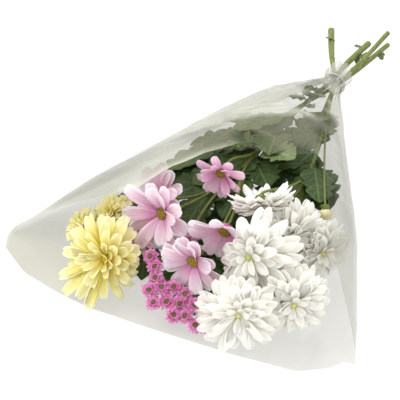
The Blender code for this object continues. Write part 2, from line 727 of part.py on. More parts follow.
# Every core has its place before the first petal does
cores = {}
for name in ORDER:
    (_, position, heading, pitch, radius), rings, core, look = kinds[name]
    stand, size, shape = bloom_core(position, heading, pitch, radius, rings, core)
    cores[name] = stand, size
    filled[name + "_petals"] = [shape]
    lift = Matrix.Translation((0, 0, size * MM + GAP))
    if rings is DAISY_RINGS:
        disc = dome(DISC_SHARE * radius * MM, DISC_HEIGHT, 8, rings=2)
        made = object_from(name + "_disc", moved(disc, stand @ lift), DISC_OLIVE, bouquet)
        filled[made.name] = [points_and_faces(made.data)]
    elif rings is WHITE_RINGS:
        centre = dome(CENTRE_RADIUS, CENTRE_HEIGHT, 7, rings=2)
        made = object_from(name + "_centre", moved(centre, stand @ lift), CENTRE_YELLOW, bouquet)
        filled[made.name] = [points_and_faces(made.data)]
for name in ORDER:
    (_, position, heading, pitch, radius), rings, core, look = kinds[name]
    stand, size = cores[name]
    bloom(name + "_petals", radius, rings, core, look, stand, size)
    stem_name, share = BRANCHES[name]
    under = Matrix.Translation((0, 0, -CALYX_HEIGHT - GAP))
    cup = moved(cone(0.55 * CALYX_RADIUS, CALYX_RADIUS, CALYX_HEIGHT, 6), stand @ under)
    radii = [BRANCH_RADIUS * 1.1] * 2 + [BRANCH_RADIUS] * (6 if pitch < HANGING else 3)
    add_branch(stem_name, share, stand, CALYX_HEIGHT * 0.55 + GAP, cup, radii)

# Round bud
_, position, heading, pitch, bud_radius = BUD
bud_stand = facing(Vector(position) * MM, heading, pitch)
bm = bmesh.new()
bmesh.ops.create_uvsphere(bm, u_segments=9, v_segments=6, radius=bud_radius * MM)
bud_shape = shape_of(bm, bud_stand @ Matrix.Diagonal((1, 1, BUD_SQUAT, 1)))
bud = object_from(BUD[0], bud_shape, BUD_CREAM, bouquet)
filled[BUD[0]] = [points_and_faces(bud.data)]
bottom = BUD_SQUAT * bud_radius * MM
under = Matrix.Translation((0, 0, -bottom - BUD_CUP - GAP))
cup = moved(cone(0.3 * bud_radius * MM, 0.75 * bud_radius * MM, BUD_CUP, 6), bud_stand @ under)
add_branch("stem_white", BUD_SHARE, bud_stand, bottom + 0.65 * BUD_CUP + GAP, cup, [BUD_STALK] * 5)

# Cluster discs and their fine branches
for k, turn in enumerate(cluster_turns):
    disc = dome(CLUSTER_DISC, 2.4 * MM, 5, rings=1, skirt=1.5 * MM)
    disc = moved(disc, turn @ Matrix.Translation((0, 0, -1.0 * MM)))
    share = 0.8 + 0.19 * k / len(cluster_turns)
    add_branch("stem_magenta", share, turn, 0.6 * MM, disc, [PEDICEL_RADIUS] * 4)

# Leaves, knots and leafy stubs, then each stem is fused
for stem_name, (knots, radius) in STEM_WAYS.items():
    points = ways[stem_name]
    others = tree_without(stem_name)
    for leaf_stem, share, heading, pitch, roll, length, width in LEAVES:
        if leaf_stem != stem_name:
            continue
        base, _ = point_along(points, share)
        droop = rng.uniform(0.05, 0.16)
        for turn_aside, turn_up, shorter in LEAF_TRIALS:
            stand = leaf_stand(base, heading + turn_aside, pitch + turn_up, roll)
            size = length * shorter * MM
            trial = moved(leaf(size, width * shorter * MM, droop, TEST_MARGIN), stand)
            if is_clear(trial, others):
                filled[stem_name].append(moved(leaf(size, width * shorter * MM, droop), stand))
                break
    for detail_stem, share, turn, kind in STEM_DETAILS:
        if detail_stem != stem_name:
            continue
        spot, way = point_along(points, share)
        outward = Matrix.Rotation(math.radians(turn), 3, way) @ way.orthogonal().normalized()
        if kind == "knot":
            bm = bmesh.new()
            bmesh.ops.create_icosphere(bm, subdivisions=1, radius=radius * 0.75 * MM)
            filled[stem_name].append(shape_of(bm, Matrix.Translation(spot + outward * radius * 0.6 * MM)))
        else:
            aim = (outward + way * 0.8).normalized().to_track_quat("X", "Z").to_matrix().to_4x4()
            stub = petal(STUB_LENGTH, STUB_WIDTH, 10, -25, POINTED_TIP)
            filled[stem_name].append(moved(stub, Matrix.Translation(spot) @ aim))
    fused(stem_name, filled[stem_name], STEM_GREEN)

# Put the origin in the middle of the footprint
for made in bouquet.objects:
    made.data.transform(Matrix.Translation(-FOOTPRINT_CENTRE))
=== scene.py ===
import math
import random

import bmesh
import bpy
from mathutils import Euler, Matrix, Vector, noise
from mathutils.bvhtree import BVHTree
from mathutils.geometry import interpolate_bezier


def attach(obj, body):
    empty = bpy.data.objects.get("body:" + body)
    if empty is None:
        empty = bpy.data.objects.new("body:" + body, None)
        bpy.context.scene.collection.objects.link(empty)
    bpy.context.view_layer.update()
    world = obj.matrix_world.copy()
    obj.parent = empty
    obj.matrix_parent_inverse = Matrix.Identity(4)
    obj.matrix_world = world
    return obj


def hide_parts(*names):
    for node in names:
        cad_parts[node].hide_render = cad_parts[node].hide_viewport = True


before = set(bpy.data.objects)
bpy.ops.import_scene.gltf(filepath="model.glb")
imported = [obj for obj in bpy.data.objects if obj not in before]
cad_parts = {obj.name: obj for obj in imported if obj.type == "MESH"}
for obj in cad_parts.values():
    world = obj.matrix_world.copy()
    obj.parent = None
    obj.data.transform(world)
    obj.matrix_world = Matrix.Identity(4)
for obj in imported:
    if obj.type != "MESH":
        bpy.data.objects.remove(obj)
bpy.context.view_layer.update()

# Film sleeve: one sheet of thin clear film wrapped to a cone, gathered in pleats at the neck and loose in a frill
# past the band. The lower sheet lies flat and the upper one is domed over the flowers.
MM = 0.001
FOOTPRINT_CENTRE = Vector((145.95, -3.98, 0))
SLEEVE_SECTIONS = (
    (-46, 25.0, 13.0, 24.0, 41, 60), (-31, 22.0, 13.0, 26.0, 40, 57), (-20, 15.5, 9.5, 27.5, 40, 52.5),
    (-12, 15.5, 9.5, 27.5, 40, 52.5), (0, 21.0, 13.0, 24.0, 40, 57), (10, 28.0, 17.0, 20.0, 38, 61),
    (30, 41.0, 28.0, 12.0, 34, 69), (60, 61.0, 46.0, 5.0, 28, 81), (90, 82.0, 62.0, 1.0, 24, 92),
    (120, 98.0, 78.0, 0.0, 20, 102), (160, 117.0, 101.0, 0.0, 16, 111), (205, 137.0, 127.0, 0.0, 12, 119),
    (250, 157.0, 151.0, 0.0, 10, 125), (300, 179.0, 174.0, 0.0, 8, 128), (350, 202.0, 196.0, 0.0, 7, 127),
    (380, 214.0, 208.0, 0.0, 6, 116), (405, 224.0, 218.0, 0.0, 4, 96), (470, 218.0, 226.0, 0.0, 2, 50),
)
LOWER_EDGE = (
    (-1, 416), (-0.96, 435), (-0.85, 448), (-0.77, 457), (-0.55, 464), (-0.36, 466), (-0.1, 461), (0.14, 455),
    (0.45, 446), (0.75, 434), (0.88, 415), (0.94, 401), (1, 398),
)
UPPER_EDGE = (
    (-1, 414), (-0.86, 398), (-0.72, 398), (-0.45, 389), (-0.28, 376), (-0.21, 346), (-0.12, 309), (-0.04, 287),
    (0.03, 267), (0.17, 265), (0.3, 257), (0.42, 246), (0.5, 224), (0.6, 208), (0.66, 212), (0.72, 252), (0.77, 296),
    (0.84, 338), (0.93, 372), (1, 398),
)
FLAT_SHARE, SLUMP = 0.62, 1.1
FILM_COLUMNS, FILM_ROWS = 196, 120
FRILL_END = -42
# Where the lap starts and where its folds lie, with their painted glints, in mm along a line that slants across the
# sheet
LAP_START, FOLD_GLINT_LINES, FOLD_SLANT = 198, (194, 180, 165, 147), 1.2
# Where the upper sheet lies on what is under it and is clear: middle (x, y) and size (mm)
CLEAR_SPOTS = (
    (42, -10, 12), (262, 12, 11), (262, 26, 11), (256, 38, 9), (248, 20, 10), (250, 4, 10),
    (66, 1, 12), (56, 16, 11), (92, 20, 12), (126, 13, 12), (118, 40, 12), (160, 66, 9), (180, 76, 9), (200, 86, 10),
    (222, 96, 12), (245, 106, 12), (268, 116, 12), (286, 124, 14), (232, 72, 18),
)


def spot(place):
    """A place on the bunch, in metres in the row's frame."""
    return (Vector(place) - FOOTPRINT_CENTRE) * MM


def between(table, place):
    """The row of a table at this place, part way between its neighbours."""
    for before, after in zip(table, table[1:]):
        if place <= after[0]:
            share = (place - before[0]) / (after[0] - before[0])
            return [(1 - share) * a + share * b for a, b in zip(before, after)]
    return list(table[-1])


def held(value):
    """The value kept between 0 and 1."""
    return max(0.0, min(1.0, value))


def film_point(turn, along):
    """A point of the film, from its turn round the bunch and the share of the way from frill to mouth."""
    across, up = math.cos(turn), math.sin(turn)
    edge = between(UPPER_EDGE if up > 0 else LOWER_EDGE, max(-1.0, min(1.0, across)))[1]
    # Rows stand closer together near the neck
    x = FRILL_END + (edge - FRILL_END) * along**1.35
    x += max(0.0, 1 - 12 * along) * 5 * noise.noise(Vector((across * 1.9, up * 1.9, 3)))
    _, left, right, low, side, top = between(SLEEVE_SECTIONS, x)
    near = max(0.0, 1 - max(0.0, x + 16) / 150)
    pleat = 1.5 * near * math.sin(turn * 17 + 1.5 * math.sin(turn * 3)) + 0.45 * near * math.sin(turn * 41 + 2)
    soft = noise.noise(Vector((across * 3.1, up * 3.1, x * 0.011)))
    crumple = abs(noise.noise(Vector((across * 5.2 + 7, up * 5.2, x * 0.03))))
    pleat += 4.5 * held((-20 - x) / 10) * noise.noise(Vector((across * 1.7, up * 1.7, x * 0.05)))
    loose = held((x - 10) / 80)
    push = pleat + loose * (2.6 * soft + 3.4 * (0.35 - crumple))
    push = max(push, -0.3 if loose > 0.2 else -1.2)
    middle, half = (right - left) / 2, (right + left) / 2
    y = middle + (half + push * (1 - 0.6 * loose)) * across
    if up >= 0:
        z = side + (top - side + push) * up ** (0.9 + SLUMP * max(0.0, -across))
    else:
        lift_share = max(0.0, (abs(across) - FLAT_SHARE) / (1 - FLAT_SHARE)) ** 2
        round_z = side - (side - low + push) * (-up) ** 0.9
        flat_z = low + (side - low) * lift_share + 0.35 * max(0.0, push + 0.3)
        blend = held((x - 20) / 60)
        z = (1 - blend) * round_z + blend * flat_z
    return spot((x, y, max(0.5, z)))


def add_node(tree, kind, inputs=None, **settings):
    made = tree.nodes.new(kind)
    for key, value in settings.items():
        setattr(made, key, value)
    for key, value in (inputs or {}).items():
        if isinstance(value, bpy.types.NodeSocket):
            tree.links.new(value, made.inputs[key])
        else:
            made.inputs[key].default_value = value
    return made


def ramp(tree, source, stops):
    """The colour or grey found at a value between stops of (value, colour)."""
    made = add_node(tree, "ShaderNodeValToRGB", {"Fac": source})
    elements = made.color_ramp.elements
    elements[0].position, elements[1].position = stops[0][0], stops[-1][0]
    elements[0].color, elements[1].color = (*stops[0][1], 1), (*stops[-1][1], 1)
    for place, colour in stops[1:-1]:
        elements.new(place).color = (*colour, 1)
    return made.outputs["Color"]


def mixed(tree, share, first, second, mode="MIX"):
    made = add_node(tree, "ShaderNodeMix", data_type="RGBA", blend_type=mode)
    for socket, value in zip((made.inputs[0], made.inputs[6], made.inputs[7]), (share, first, second)):
        if isinstance(value, bpy.types.NodeSocket):
            tree.links.new(value, socket)
        else:
            socket.default_value = value if isinstance(value, float) else (*value, 1)
    return made.outputs[2]


def maths(tree, operation, first, second=0.0):
    return add_node(tree, "ShaderNodeMath", {0: first, 1: second}, operation=operation).outputs[0]


def grain(tree, scale, detail, place=None):
    """A noise pattern through the piece, or over the given places."""
    if place is None:
        place = add_node(tree, "ShaderNodeTexCoord").outputs["Object"]
    inputs = {"Vector": place, "Scale": scale, "Detail": detail}
    return add_node(tree, "ShaderNodeTexNoise", inputs).outputs["Fac"]


def bump(tree, shader, height, strength, distance):
    made = add_node(tree, "ShaderNodeBump", {"Height": height, "Strength": strength, "Distance": distance})
    tree.links.new(made.outputs["Normal"], shader.inputs["Normal"])


def new_finish(name, roughness):
    made = bpy.data.materials.new(name)
    made.use_nodes = True
    shader = made.node_tree.nodes["Principled BSDF"]
    shader.inputs["Roughness"].default_value = roughness
    return made, made.node_tree, shader


def finished_piece(name, bm, material, slot, *nodes, smooth=math.radians(50)):
    """A piece of the bunch from its bmesh, which stands for the named nodes."""
    mesh = bpy.data.meshes.new(name)
    bm.to_mesh(mesh)
    bm.free()
    mesh.materials.append(material)
    mesh.shade_smooth()
    mesh.set_sharp_from_angle(angle=smooth)
    piece = bpy.data.objects.new(name, mesh)
    bpy.context.scene.collection.objects.link(piece)
    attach(piece, "root")
    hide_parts(*nodes)
    return piece


bm = bmesh.new()
bmesh.ops.create_grid(bm, x_segments=FILM_ROWS, y_segments=FILM_COLUMNS, size=1.0)
uv = bm.loops.layers.uv.new("film")
mist_layer = bm.verts.layers.float.new("mist")
white_layer = bm.verts.layers.float.new("white")
places = {vert: ((vert.co.x + 1) / 2, (vert.co.y + 1) / 2) for vert in bm.verts}
for face in bm.faces:
    for loop in face.loops:
        along, round_share = places[loop.vert]
        loop[uv].uv = (round_share, along)
# The haze, the clear places, the pale folds with their painted glints and the painted light over the right-hand blooms
# stay on the film, but they were fitted to one view, the camera's: from other sides the film looks cloudier and its
# folds plainer than on real film
for vert, (along, round_share) in places.items():
    vert.co = film_point(math.tau * round_share, along)
    on_top = max(0.0, math.sin(math.tau * round_share))
    x, y = vert.co.x / MM + FOOTPRINT_CENTRE.x, vert.co.y / MM + FOOTPRINT_CENTRE.y
    upper = min(1.0, 3 * on_top)
    # Towards the neck the sheet laps over itself and its folds carry painted white glints; the lap fades down the left
    # side
    slant = x + FOLD_SLANT * y
    lap = held((LAP_START - x - FOLD_SLANT * y) / 14) * (0.4 + 0.6 * held((y + 125) / 60))
    wander = 7 * noise.noise(Vector((x * 0.02, y * 0.03, 5)))
    fold_glints = sum(math.exp(-(((slant + wander - far) / 3) ** 2)) for far in FOLD_GLINT_LINES)
    fold_glints *= max(0.0, 0.55 + 0.9 * noise.noise(Vector((x * 0.035, y * 0.05, 1))))
    # A thin painted glint runs along the mouth's edge
    edge = max(0.0, (along - 0.975) / 0.025)
    # A wider pale strip stands for the rolled edge, which isn't modelled, and carries a painted glint; it fades out at
    # both sides of the mouth
    rolled_edge_and_glint = max(0.0, (along - 0.955) / 0.045) * held((y + 110) / 40)
    left = held((-60 - y) / 120) * held((x - 250) / 120)
    right = held((y - 20) / 60) * held((x - 200) / 100)
    beside = right * (1 - 2.4 * held((x - 280) / 70))
    clear = max(held(2 - math.hypot(x - u, y - v) / size) for u, v, size in CLEAR_SPOTS)
    # Over the white blooms at the right the film is painted paler, as painted light that lifts the shade on them
    painted_light_right = held((y - 110) / 40) * held((x - 270) / 40)
    mist = 0.3 + 0.13 * left - 0.07 * right + upper * (0.15 - 0.04 * left + 0.07 * beside + 0.1 * lap)
    vert[mist_layer] = mist * (1 - 0.8 * clear * upper) * (0.5 + 0.5 * min(1.0, along / 0.16))
    near = held((x - 40) / 30) * held((230 - x) / 50)
    hazy = held((-10 - y) / 20) * held((y + 95) / 25) * held((x - 280) / 30)
    # The film is painted whiter at the lap, with painted glints on its folds and along the mouth, and painted light
    # over the right-hand blooms
    whiter = 0.42 * lap + 0.25 * fold_glints * near + max(0.35 * edge, 0.55 * rolled_edge_and_glint) * (1 - right)
    whiter += 0.25 * painted_light_right + 0.3 * hazy
    vert[white_layer] = min(1.0, upper * whiter) * (1 - 0.8 * clear)
bmesh.ops.remove_doubles(bm, verts=bm.verts[:], dist=0.01 * MM)
bmesh.ops.recalc_face_normals(bm, faces=bm.faces[:])
if sum(face.normal.z for face in bm.faces if face.calc_center_median().z > 50 * MM) < 0:
    bmesh.ops.reverse_faces(bm, faces=bm.faces[:])

clear_film, tree, shader = new_finish("clear_film", 0.2)
uv = add_node(tree, "ShaderNodeUVMap", uv_map="film").outputs["UV"]
parts = add_node(tree, "ShaderNodeSeparateXYZ", {"Vector": uv})
drawn = add_node(tree, "ShaderNodeMapping", {"Vector": uv, "Scale": (46, 2.2, 1)}).outputs[0]
crease_look = {"Vector": drawn, "Scale": 1.0, "Detail": 4.0, "Distortion": 0.6}
creases = add_node(tree, "ShaderNodeTexNoise", crease_look).outputs["Fac"]
cloudy = ramp(tree, grain(tree, 9.0, 4.0), ((0.3, (0.85, 0.85, 0.85)), (0.7, (1.0, 1.0, 1.0))))
mist = add_node(tree, "ShaderNodeAttribute", attribute_name="mist").outputs["Fac"]
white = add_node(tree, "ShaderNodeAttribute", attribute_name="white").outputs["Fac"]
# The creases near the neck and in the frill are painted whiter than the film between them, as painted glints
near_neck = ramp(tree, parts.outputs["Y"], ((0.04, (1, 1, 1)), (0.27, (0, 0, 0))))
frill_glint = ramp(tree, parts.outputs["Y"], ((0.07, (0.06, 0.06, 0.06)), (0.15, (0, 0, 0))))
streaks = ramp(tree, creases, ((0.5, (0, 0, 0)), (0.7, (1, 1, 1))))
streaks = maths(tree, "MULTIPLY", streaks, maths(tree, "ADD", maths(tree, "MULTIPLY", near_neck, 0.42), 0.08))
pale_and_glints = maths(tree, "ADD", maths(tree, "ADD", white, streaks), frill_glint)
haze = maths(tree, "ADD", maths(tree, "MULTIPLY", mist, cloudy), maths(tree, "MULTIPLY", pale_and_glints, 0.4))
facing_share = add_node(tree, "ShaderNodeLayerWeight", {"Blend": 0.2}).outputs["Facing"]
haze = maths(tree, "ADD", haze, maths(tree, "MULTIPLY", facing_share, 0.15))
tree.links.new(maths(tree, "MINIMUM", haze, 0.92), shader.inputs["Alpha"])
# The lower sheet is painted a little warmer, as a painted reflection of the flowers that lie on it
painted_reflection_tint = ramp(tree, parts.outputs["X"], (
    (0.0, (0.2, 0.187, 0.05)), (0.04, (0.185, 0.183, 0.12)), (0.46, (0.185, 0.183, 0.12)), (0.5, (0.2, 0.187, 0.05)),
))
film_colour = mixed(tree, maths(tree, "MINIMUM", pale_and_glints, 1.0), painted_reflection_tint, (0.6, 0.6, 0.52))
tree.links.new(film_colour, shader.inputs["Base Color"])
shader.inputs["IOR"].default_value = 1.45
bump(tree, shader, creases, 0.3, 0.003)
film = finished_piece("film", bm, clear_film, "clear_film", "sleeve", smooth=math.radians(80))

# Band: a thin clear elastic band, mottled a little milky, wound twice round the gathered film at the neck.
# Its two turns run into each other on top and stand about 4 mm apart below.
BAND_PLACE, BAND_RADIUS, BAND_THICKNESS = (-16, -3, 40), 15.2, 1.0
BAND_COLOURS = ((0.3, (0.5, 0.5, 0.44)), (0.7, (0.66, 0.66, 0.6)))


def grainy_finish(name, roughness, scale, detail, stops, relief=None):
    """A finish mottled by a fine grain, which also roughens it by relief: strength and depth."""
    made, tree, shader = new_finish(name, roughness)
    fine = grain(tree, scale, detail)
    tree.links.new(ramp(tree, fine, stops), shader.inputs["Base Color"])
    if relief:
        bump(tree, shader, fine, *relief)
    return made, shader


band_clear, shader = grainy_finish("band_clear", 0.3, 120.0, 2.0, BAND_COLOURS)
shader.inputs["Alpha"].default_value = 0.45


def spun(part, geom, steps):
    """Spins a profile once round the Z axis into a closed skin that faces outwards."""
    bmesh.ops.spin(part, geom=geom, axis=(0, 0, 1), cent=(0, 0, 0), angle=math.tau, steps=steps, use_merge=True)
    bmesh.ops.remove_doubles(part, verts=part.verts[:], dist=0.01 * MM)
    bmesh.ops.recalc_face_normals(part, faces=part.faces[:])


def join_part(bm, part, stand):
    """Puts a part in its place and joins it to the piece."""
    bmesh.ops.transform(part, matrix=stand, verts=part.verts[:])
    mesh = bpy.data.meshes.new("part")
    part.to_mesh(mesh)
    part.free()
    bm.from_mesh(mesh)
    bpy.data.meshes.remove(mesh)


bm = bmesh.new()
for shift, tilt in ((-1.1, 3), (1.1, -4)):
    part = bmesh.new()
    upright = Matrix.Translation((BAND_RADIUS * MM, 0, 0)) @ Matrix.Rotation(math.pi / 2, 4, "X")
    bmesh.ops.create_circle(part, segments=8, radius=BAND_THICKNESS * MM, matrix=upright)
    spun(part, part.verts[:] + part.edges[:], 56)
    lie = Euler((0, math.radians(90 + tilt), 0)).to_matrix().to_4x4()
    join_part(bm, part, Matrix.Translation(spot(BAND_PLACE) + Vector((shift * MM, 0, 0))) @ lie)
finished_piece("elastic_band", bm, band_clear, "band", "band")

# Cut stems: four chrysanthemum stems, ridged and yellowish green, that cross where the band holds them.
# Each branches past the band into one spray, and a thin branch runs to the cup under every bloom.
# Places are in millimetres, x towards the mouth from 16 mm past the band, y to the right and z up from the floor.
STEM_WAYS = {
    "stem_white": (
        ((-111, -53, 58), (-60, -28, 52), (-16, -3, 46), (40, 16, 52), (110, 40, 58), (210, 66, 60)), 3.75,
    ),
    "stem_pink": (
        ((-147, -9, 30), (-70, -11, 36), (-16, -7.9, 41.3), (50, -10, 50), (120, -8, 60), (215, -8, 64)), 3.6,
    ),
    "stem_yellow": (
        ((-173, 11, 20), (-80, 4, 28), (-16, -3, 34), (50, -22, 36), (130, -48, 36), (235, -78, 36)), 3.0,
    ),
    "stem_magenta": (
        ((-164, 12, 45), (-80, 8, 42), (-16, 0.9, 40.5), (50, 10, 33), (150, 16, 24), (330, 14, 20)), 2.75,
    ),
}
# Blooms: middle, heading and pitch of the way each faces (degrees), radius (mm), and the place on its stem
BLOOMS = {
    "pink_1": ((373, -34, 85), -11, 20, 37, 0.92),
    "pink_2": ((403, 23, 64), -2, 8, 37, 0.86),
    "pink_3": ((372, 44, 92), 8, -2, 35, 0.96),
    "pink_4": ((306, 2, 110), 12, 6, 30, 0.9),
    "pink_5": ((348, -52, 86), -28, 36, 33, 0.99),
    "pink_6": ((387, -58, 50), -13, 3, 29, 0.84),
    "pink_7": ((374, 0, 60), 15, -4, 22, 0.98),
    "white_1": ((390, 83, 88), 10, 16, 46, 0.86),
    "white_2": ((437, 98, 50), 16, 9, 43, 0.8),
    "white_3": ((395, 141, 50), 33, 9, 41, 0.9),
    "white_4": ((323, 107, 74), 62, 3, 40, 0.97),
    "white_5": ((324, 64, 98), 44, -56, 35, 0.93),
    "white_6": ((305, 133, 48), 50, 10, 36, 0.84),
    "yellow_1": ((438, -70, 52), 2, 19, 48, 0.9),
    "yellow_2": ((374, -104, 58), -33, 48, 28, 0.98),
    "yellow_3": ((397, -131, 38), -23, 33, 27, 0.94),
}
DAISY_CORE = 5.0
DOUBLE_CORE = 12.0
BRANCH_RADIUS = 1.7
BRANCH_BENDS = (0, 5, 10, 16, 23, 31)
HANGING = -30
CALYX_HEIGHT = 5.5
BRANCH_STEPS = 14


def surface_of(mesh):
    return [v.co.copy() for v in mesh.vertices], [tuple(p.vertices) for p in mesh.polygons]


# What each node or finished piece fills, so that petals, leaves and branches bend clear of it
standing = {name: [surface_of(node.data)] for name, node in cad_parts.items()}
standing["sleeve"] = [surface_of(film.data)]


def tree_without(name, gap=0.0):
    points, faces = [], []
    for owner, shapes in standing.items():
        if owner == name:
            continue
        for shape_points, shape_faces in shapes:
            start = len(points)
            points += shape_points
            faces += [tuple(i + start for i in face) for face in shape_faces]
    return BVHTree.FromPolygons(points, faces, epsilon=gap)


stalk_green, tree, shader = new_finish("stalk_green", 0.5)
place = add_node(tree, "ShaderNodeTexCoord").outputs["Object"]
lengthwise = add_node(tree, "ShaderNodeMapping", {"Vector": place, "Scale": (30, 260, 260)})
streaks = grain(tree, 3.0, 3.0, lengthwise.outputs[0])
green = ramp(tree, streaks, ((0.3, (0.07, 0.095, 0.01)), (0.55, (0.145, 0.175, 0.025)), (0.75, (0.25, 0.27, 0.07))))
scars = ramp(tree, grain(tree, 55.0, 3.0, place), ((0.55, (0, 0, 0)), (0.72, (0.8, 0.8, 0.8))))
tree.links.new(mixed(tree, scars, green, (0.15, 0.11, 0.025)), shader.inputs["Base Color"])
bump(tree, shader, streaks, 0.5, 0.0006)


def way_points(knots, steps):
    """Points on a smooth way through the knots."""
    knots = [spot(k) for k in knots]
    found = []
    for k in range(len(knots) - 1):
        before = knots[max(0, k - 1)]
        start, end = knots[k], knots[k + 1]
        after = knots[min(len(knots) - 1, k + 2)]
        span = (end - start).length
        out = (end - before).normalized() * span / 3
        back = (after - start).normalized() * span / 3
        found += interpolate_bezier(start, start + out, end - back, end, steps + 1)[:-1]
    return found + [knots[-1]]


def point_along(points, share):
    lengths = [(b - a).length for a, b in zip(points, points[1:])]
    left = share * sum(lengths)
    for start, end, length in zip(points, points[1:], lengths):
        if left <= length:
            return start.lerp(end, left / length), (end - start).normalized()
        left -= length
    return points[-1], (points[-1] - points[-2]).normalized()


def facing(position, heading, pitch, roll=0.0):
    """Turns +Z to the way that a bloom faces."""
    turn = Euler((0, math.radians(90 - pitch), math.radians(heading))).to_matrix().to_4x4()
    return Matrix.Translation(position) @ turn @ Matrix.Rotation(math.radians(roll), 4, "Z")


def axis_of(stand):
    return (stand.to_3x3() @ Vector((0, 0, 1))).normalized()


def run_mesh(points, radii, resolution):
    """A round run along the points, with closed ends."""
    curve = bpy.data.curves.new("run", "CURVE")
    curve.dimensions = "3D"
    curve.bevel_depth = 1.0
    curve.bevel_resolution = resolution
    curve.use_fill_caps = True
    spline = curve.splines.new("POLY")
    spline.points.add(len(points) - 1)
    for knot, point, radius in zip(spline.points, points, radii):
        knot.co = (*point, 1)
        knot.radius = radius
    run = bpy.data.objects.new("run", curve)
    bpy.context.scene.collection.objects.link(run)
    mesh = bpy.data.meshes.new_from_object(run.evaluated_get(bpy.context.evaluated_depsgraph_get()))
    bpy.data.objects.remove(run, do_unlink=True)
    bpy.data.curves.remove(curve)
    part = bmesh.new()
    part.from_mesh(mesh)
    bmesh.ops.remove_doubles(part, verts=part.verts[:], dist=0.01 * MM)
    bmesh.ops.recalc_face_normals(part, faces=part.faces[:])
    part.to_mesh(mesh)
    part.free()
    return mesh


def add_run(bm, points, radii, resolution=3):
    mesh = run_mesh(points, radii, resolution)
    bm.from_mesh(mesh)
    bpy.data.meshes.remove(mesh)


def branch_points(start, way, end, facing_way, radius, count, tree):
    """A branch's way from its stem to a bloom's cup, bowed round whatever stands there."""
    span = (end - start).length
    for reach in BRANCH_BENDS:
        for k in range(8 if reach else 1):
            side = Vector((0, math.cos(math.tau * k / 8), math.sin(math.tau * k / 8))) * reach * MM
            for hold in (0.38, 0.22, 0.12) if facing_way.z > -0.6 else (0.1, 0.2, 0.3):
                arm, hand = start + way * span * 0.4 + side, end - facing_way * span * hold + side
                trial = run_mesh(interpolate_bezier(start, arm, hand, end, count), [radius + 0.45 * MM] * count, 0)
                clear = not BVHTree.FromPolygons(*surface_of(trial)).overlap(tree)
                bpy.data.meshes.remove(trial)
                if clear:
                    return interpolate_bezier(start, arm, hand, end, BRANCH_STEPS)
    return interpolate_bezier(start, start + way * span * 0.4, end - facing_way * span * 0.38, end, BRANCH_STEPS)


def bloom_stand(name):
    """The bloom's own place: +Z the way it faces, from the underside of its core, and the core's height in mm."""
    place, heading, pitch, radius, _ = BLOOMS[name]
    size = DAISY_CORE if name.startswith("pink") else DOUBLE_CORE * radius / 44
    return facing(spot(place), heading, pitch) @ Matrix.Translation((0, 0, -size * MM)), size


def add_cup(bm, stand, rng, scale=1.0):
    """The green cup under a bloom: a spun bowl with two rows of pointed scales."""
    profile = ((0.0, -6.4), (1.8, -6.2), (2.9, -5.4), (4.4, -3.4), (5.3, -1.6), (5.6, -0.4), (0.0, -0.4))
    part = bmesh.new()
    verts = [part.verts.new((r * scale * MM, 0, z * scale * MM)) for r, z in profile]
    edges = [part.edges.new(pair) for pair in zip(verts, verts[1:])]
    spun(part, verts + edges, 12)
    for row, (low, lean) in enumerate(((-5.2, 38), (-3.0, 58))):
        for k in range(9):
            turn = Matrix.Rotation(math.tau * (k + 0.5 * row) / 9, 4, "Z")
            turn = turn @ Matrix.Translation((3.6 * scale * MM, 0, low * scale * MM))
            turn = turn @ Matrix.Rotation(math.radians(-lean + rng.uniform(-8, 8)), 4, "Y")
            bmesh.ops.create_cone(
                part, cap_ends=True, segments=4, radius1=1.1 * scale * MM, radius2=0.1 * MM, depth=5.2 * scale * MM,
                matrix=turn @ Matrix.Translation((2.4 * scale * MM, 0, 0)) @ Matrix.Rotation(math.pi / 2, 4, "Y"),
            )
    join_part(bm, part, stand)


ways = {name: way_points(knots, 3) for name, (knots, _) in STEM_WAYS.items()}
runs = {name: [way] for name, way in ways.items()}
stalks = {}
for stem_name, (knots, radius) in STEM_WAYS.items():
    rng = random.Random(stem_name)
    bm = bmesh.new()
    fine = way_points(knots, 9)
    last = len(fine) - 1
    swell = [1 + 0.05 * noise.noise(Vector((k * 0.7, radius, 0))) for k in range(last + 1)]
    # Past the band the bare ends are a little thicker
    bare = [held((-45 - (point.x / MM + FOOTPRINT_CENTRE.x)) / 30) for point in fine]
    radii = [radius * MM * (0.97 + 0.25 * bare[k]) * (1 - 0.38 * k / last) * swell[k] for k in range(last + 1)]
    add_run(bm, fine, radii, resolution=4)
    around = tree_without(stem_name)
    for name, (_, _, pitch, size, share) in BLOOMS.items():
        if name.split("_")[0] != stem_name.split("_")[1]:
            continue
        stand, _ = bloom_stand(name)
        axis = axis_of(stand)
        start, way = point_along(ways[stem_name], share)
        end = stand.translation - axis * (CALYX_HEIGHT * 0.55 + 0.3) * MM
        count = 8 if pitch < HANGING else 5
        points = branch_points(start, way, end, axis, BRANCH_RADIUS * MM, count, around)
        runs[stem_name].append(points)
        taper = [1.1 - 0.15 * k / (BRANCH_STEPS - 1) for k in range(BRANCH_STEPS)]
        add_run(bm, points, [BRANCH_RADIUS * MM * share for share in taper])
        add_cup(bm, stand, rng, 0.85 if size < 30 else 1.0)
    stalks[stem_name] = bm

# Bud stalk: the one round bud stands on a long thin stalk of the white spray, in a small green cup.
# The bud is a closed ball of cream petals wrapped over each other.
BUD_PLACE, BUD_HEADING, BUD_PITCH, BUD_RADIUS = (258, 112, 62), 36, -50, 7.5
bud_stand = facing(spot(BUD_PLACE), BUD_HEADING, BUD_PITCH)
axis = axis_of(bud_stand)
start, way = point_along(ways["stem_white"], 0.5)
end = bud_stand.translation - axis * (0.92 * BUD_RADIUS + 2.5) * MM
points = branch_points(start, way, end, axis, 1.2 * MM, 5, tree_without("stem_white"))
add_run(stalks["stem_white"], points, [1.2 * MM] * BRANCH_STEPS)
add_cup(stalks["stem_white"], bud_stand @ Matrix.Translation((0, 0, -0.8 * BUD_RADIUS * MM)), random.Random(3), 0.85)

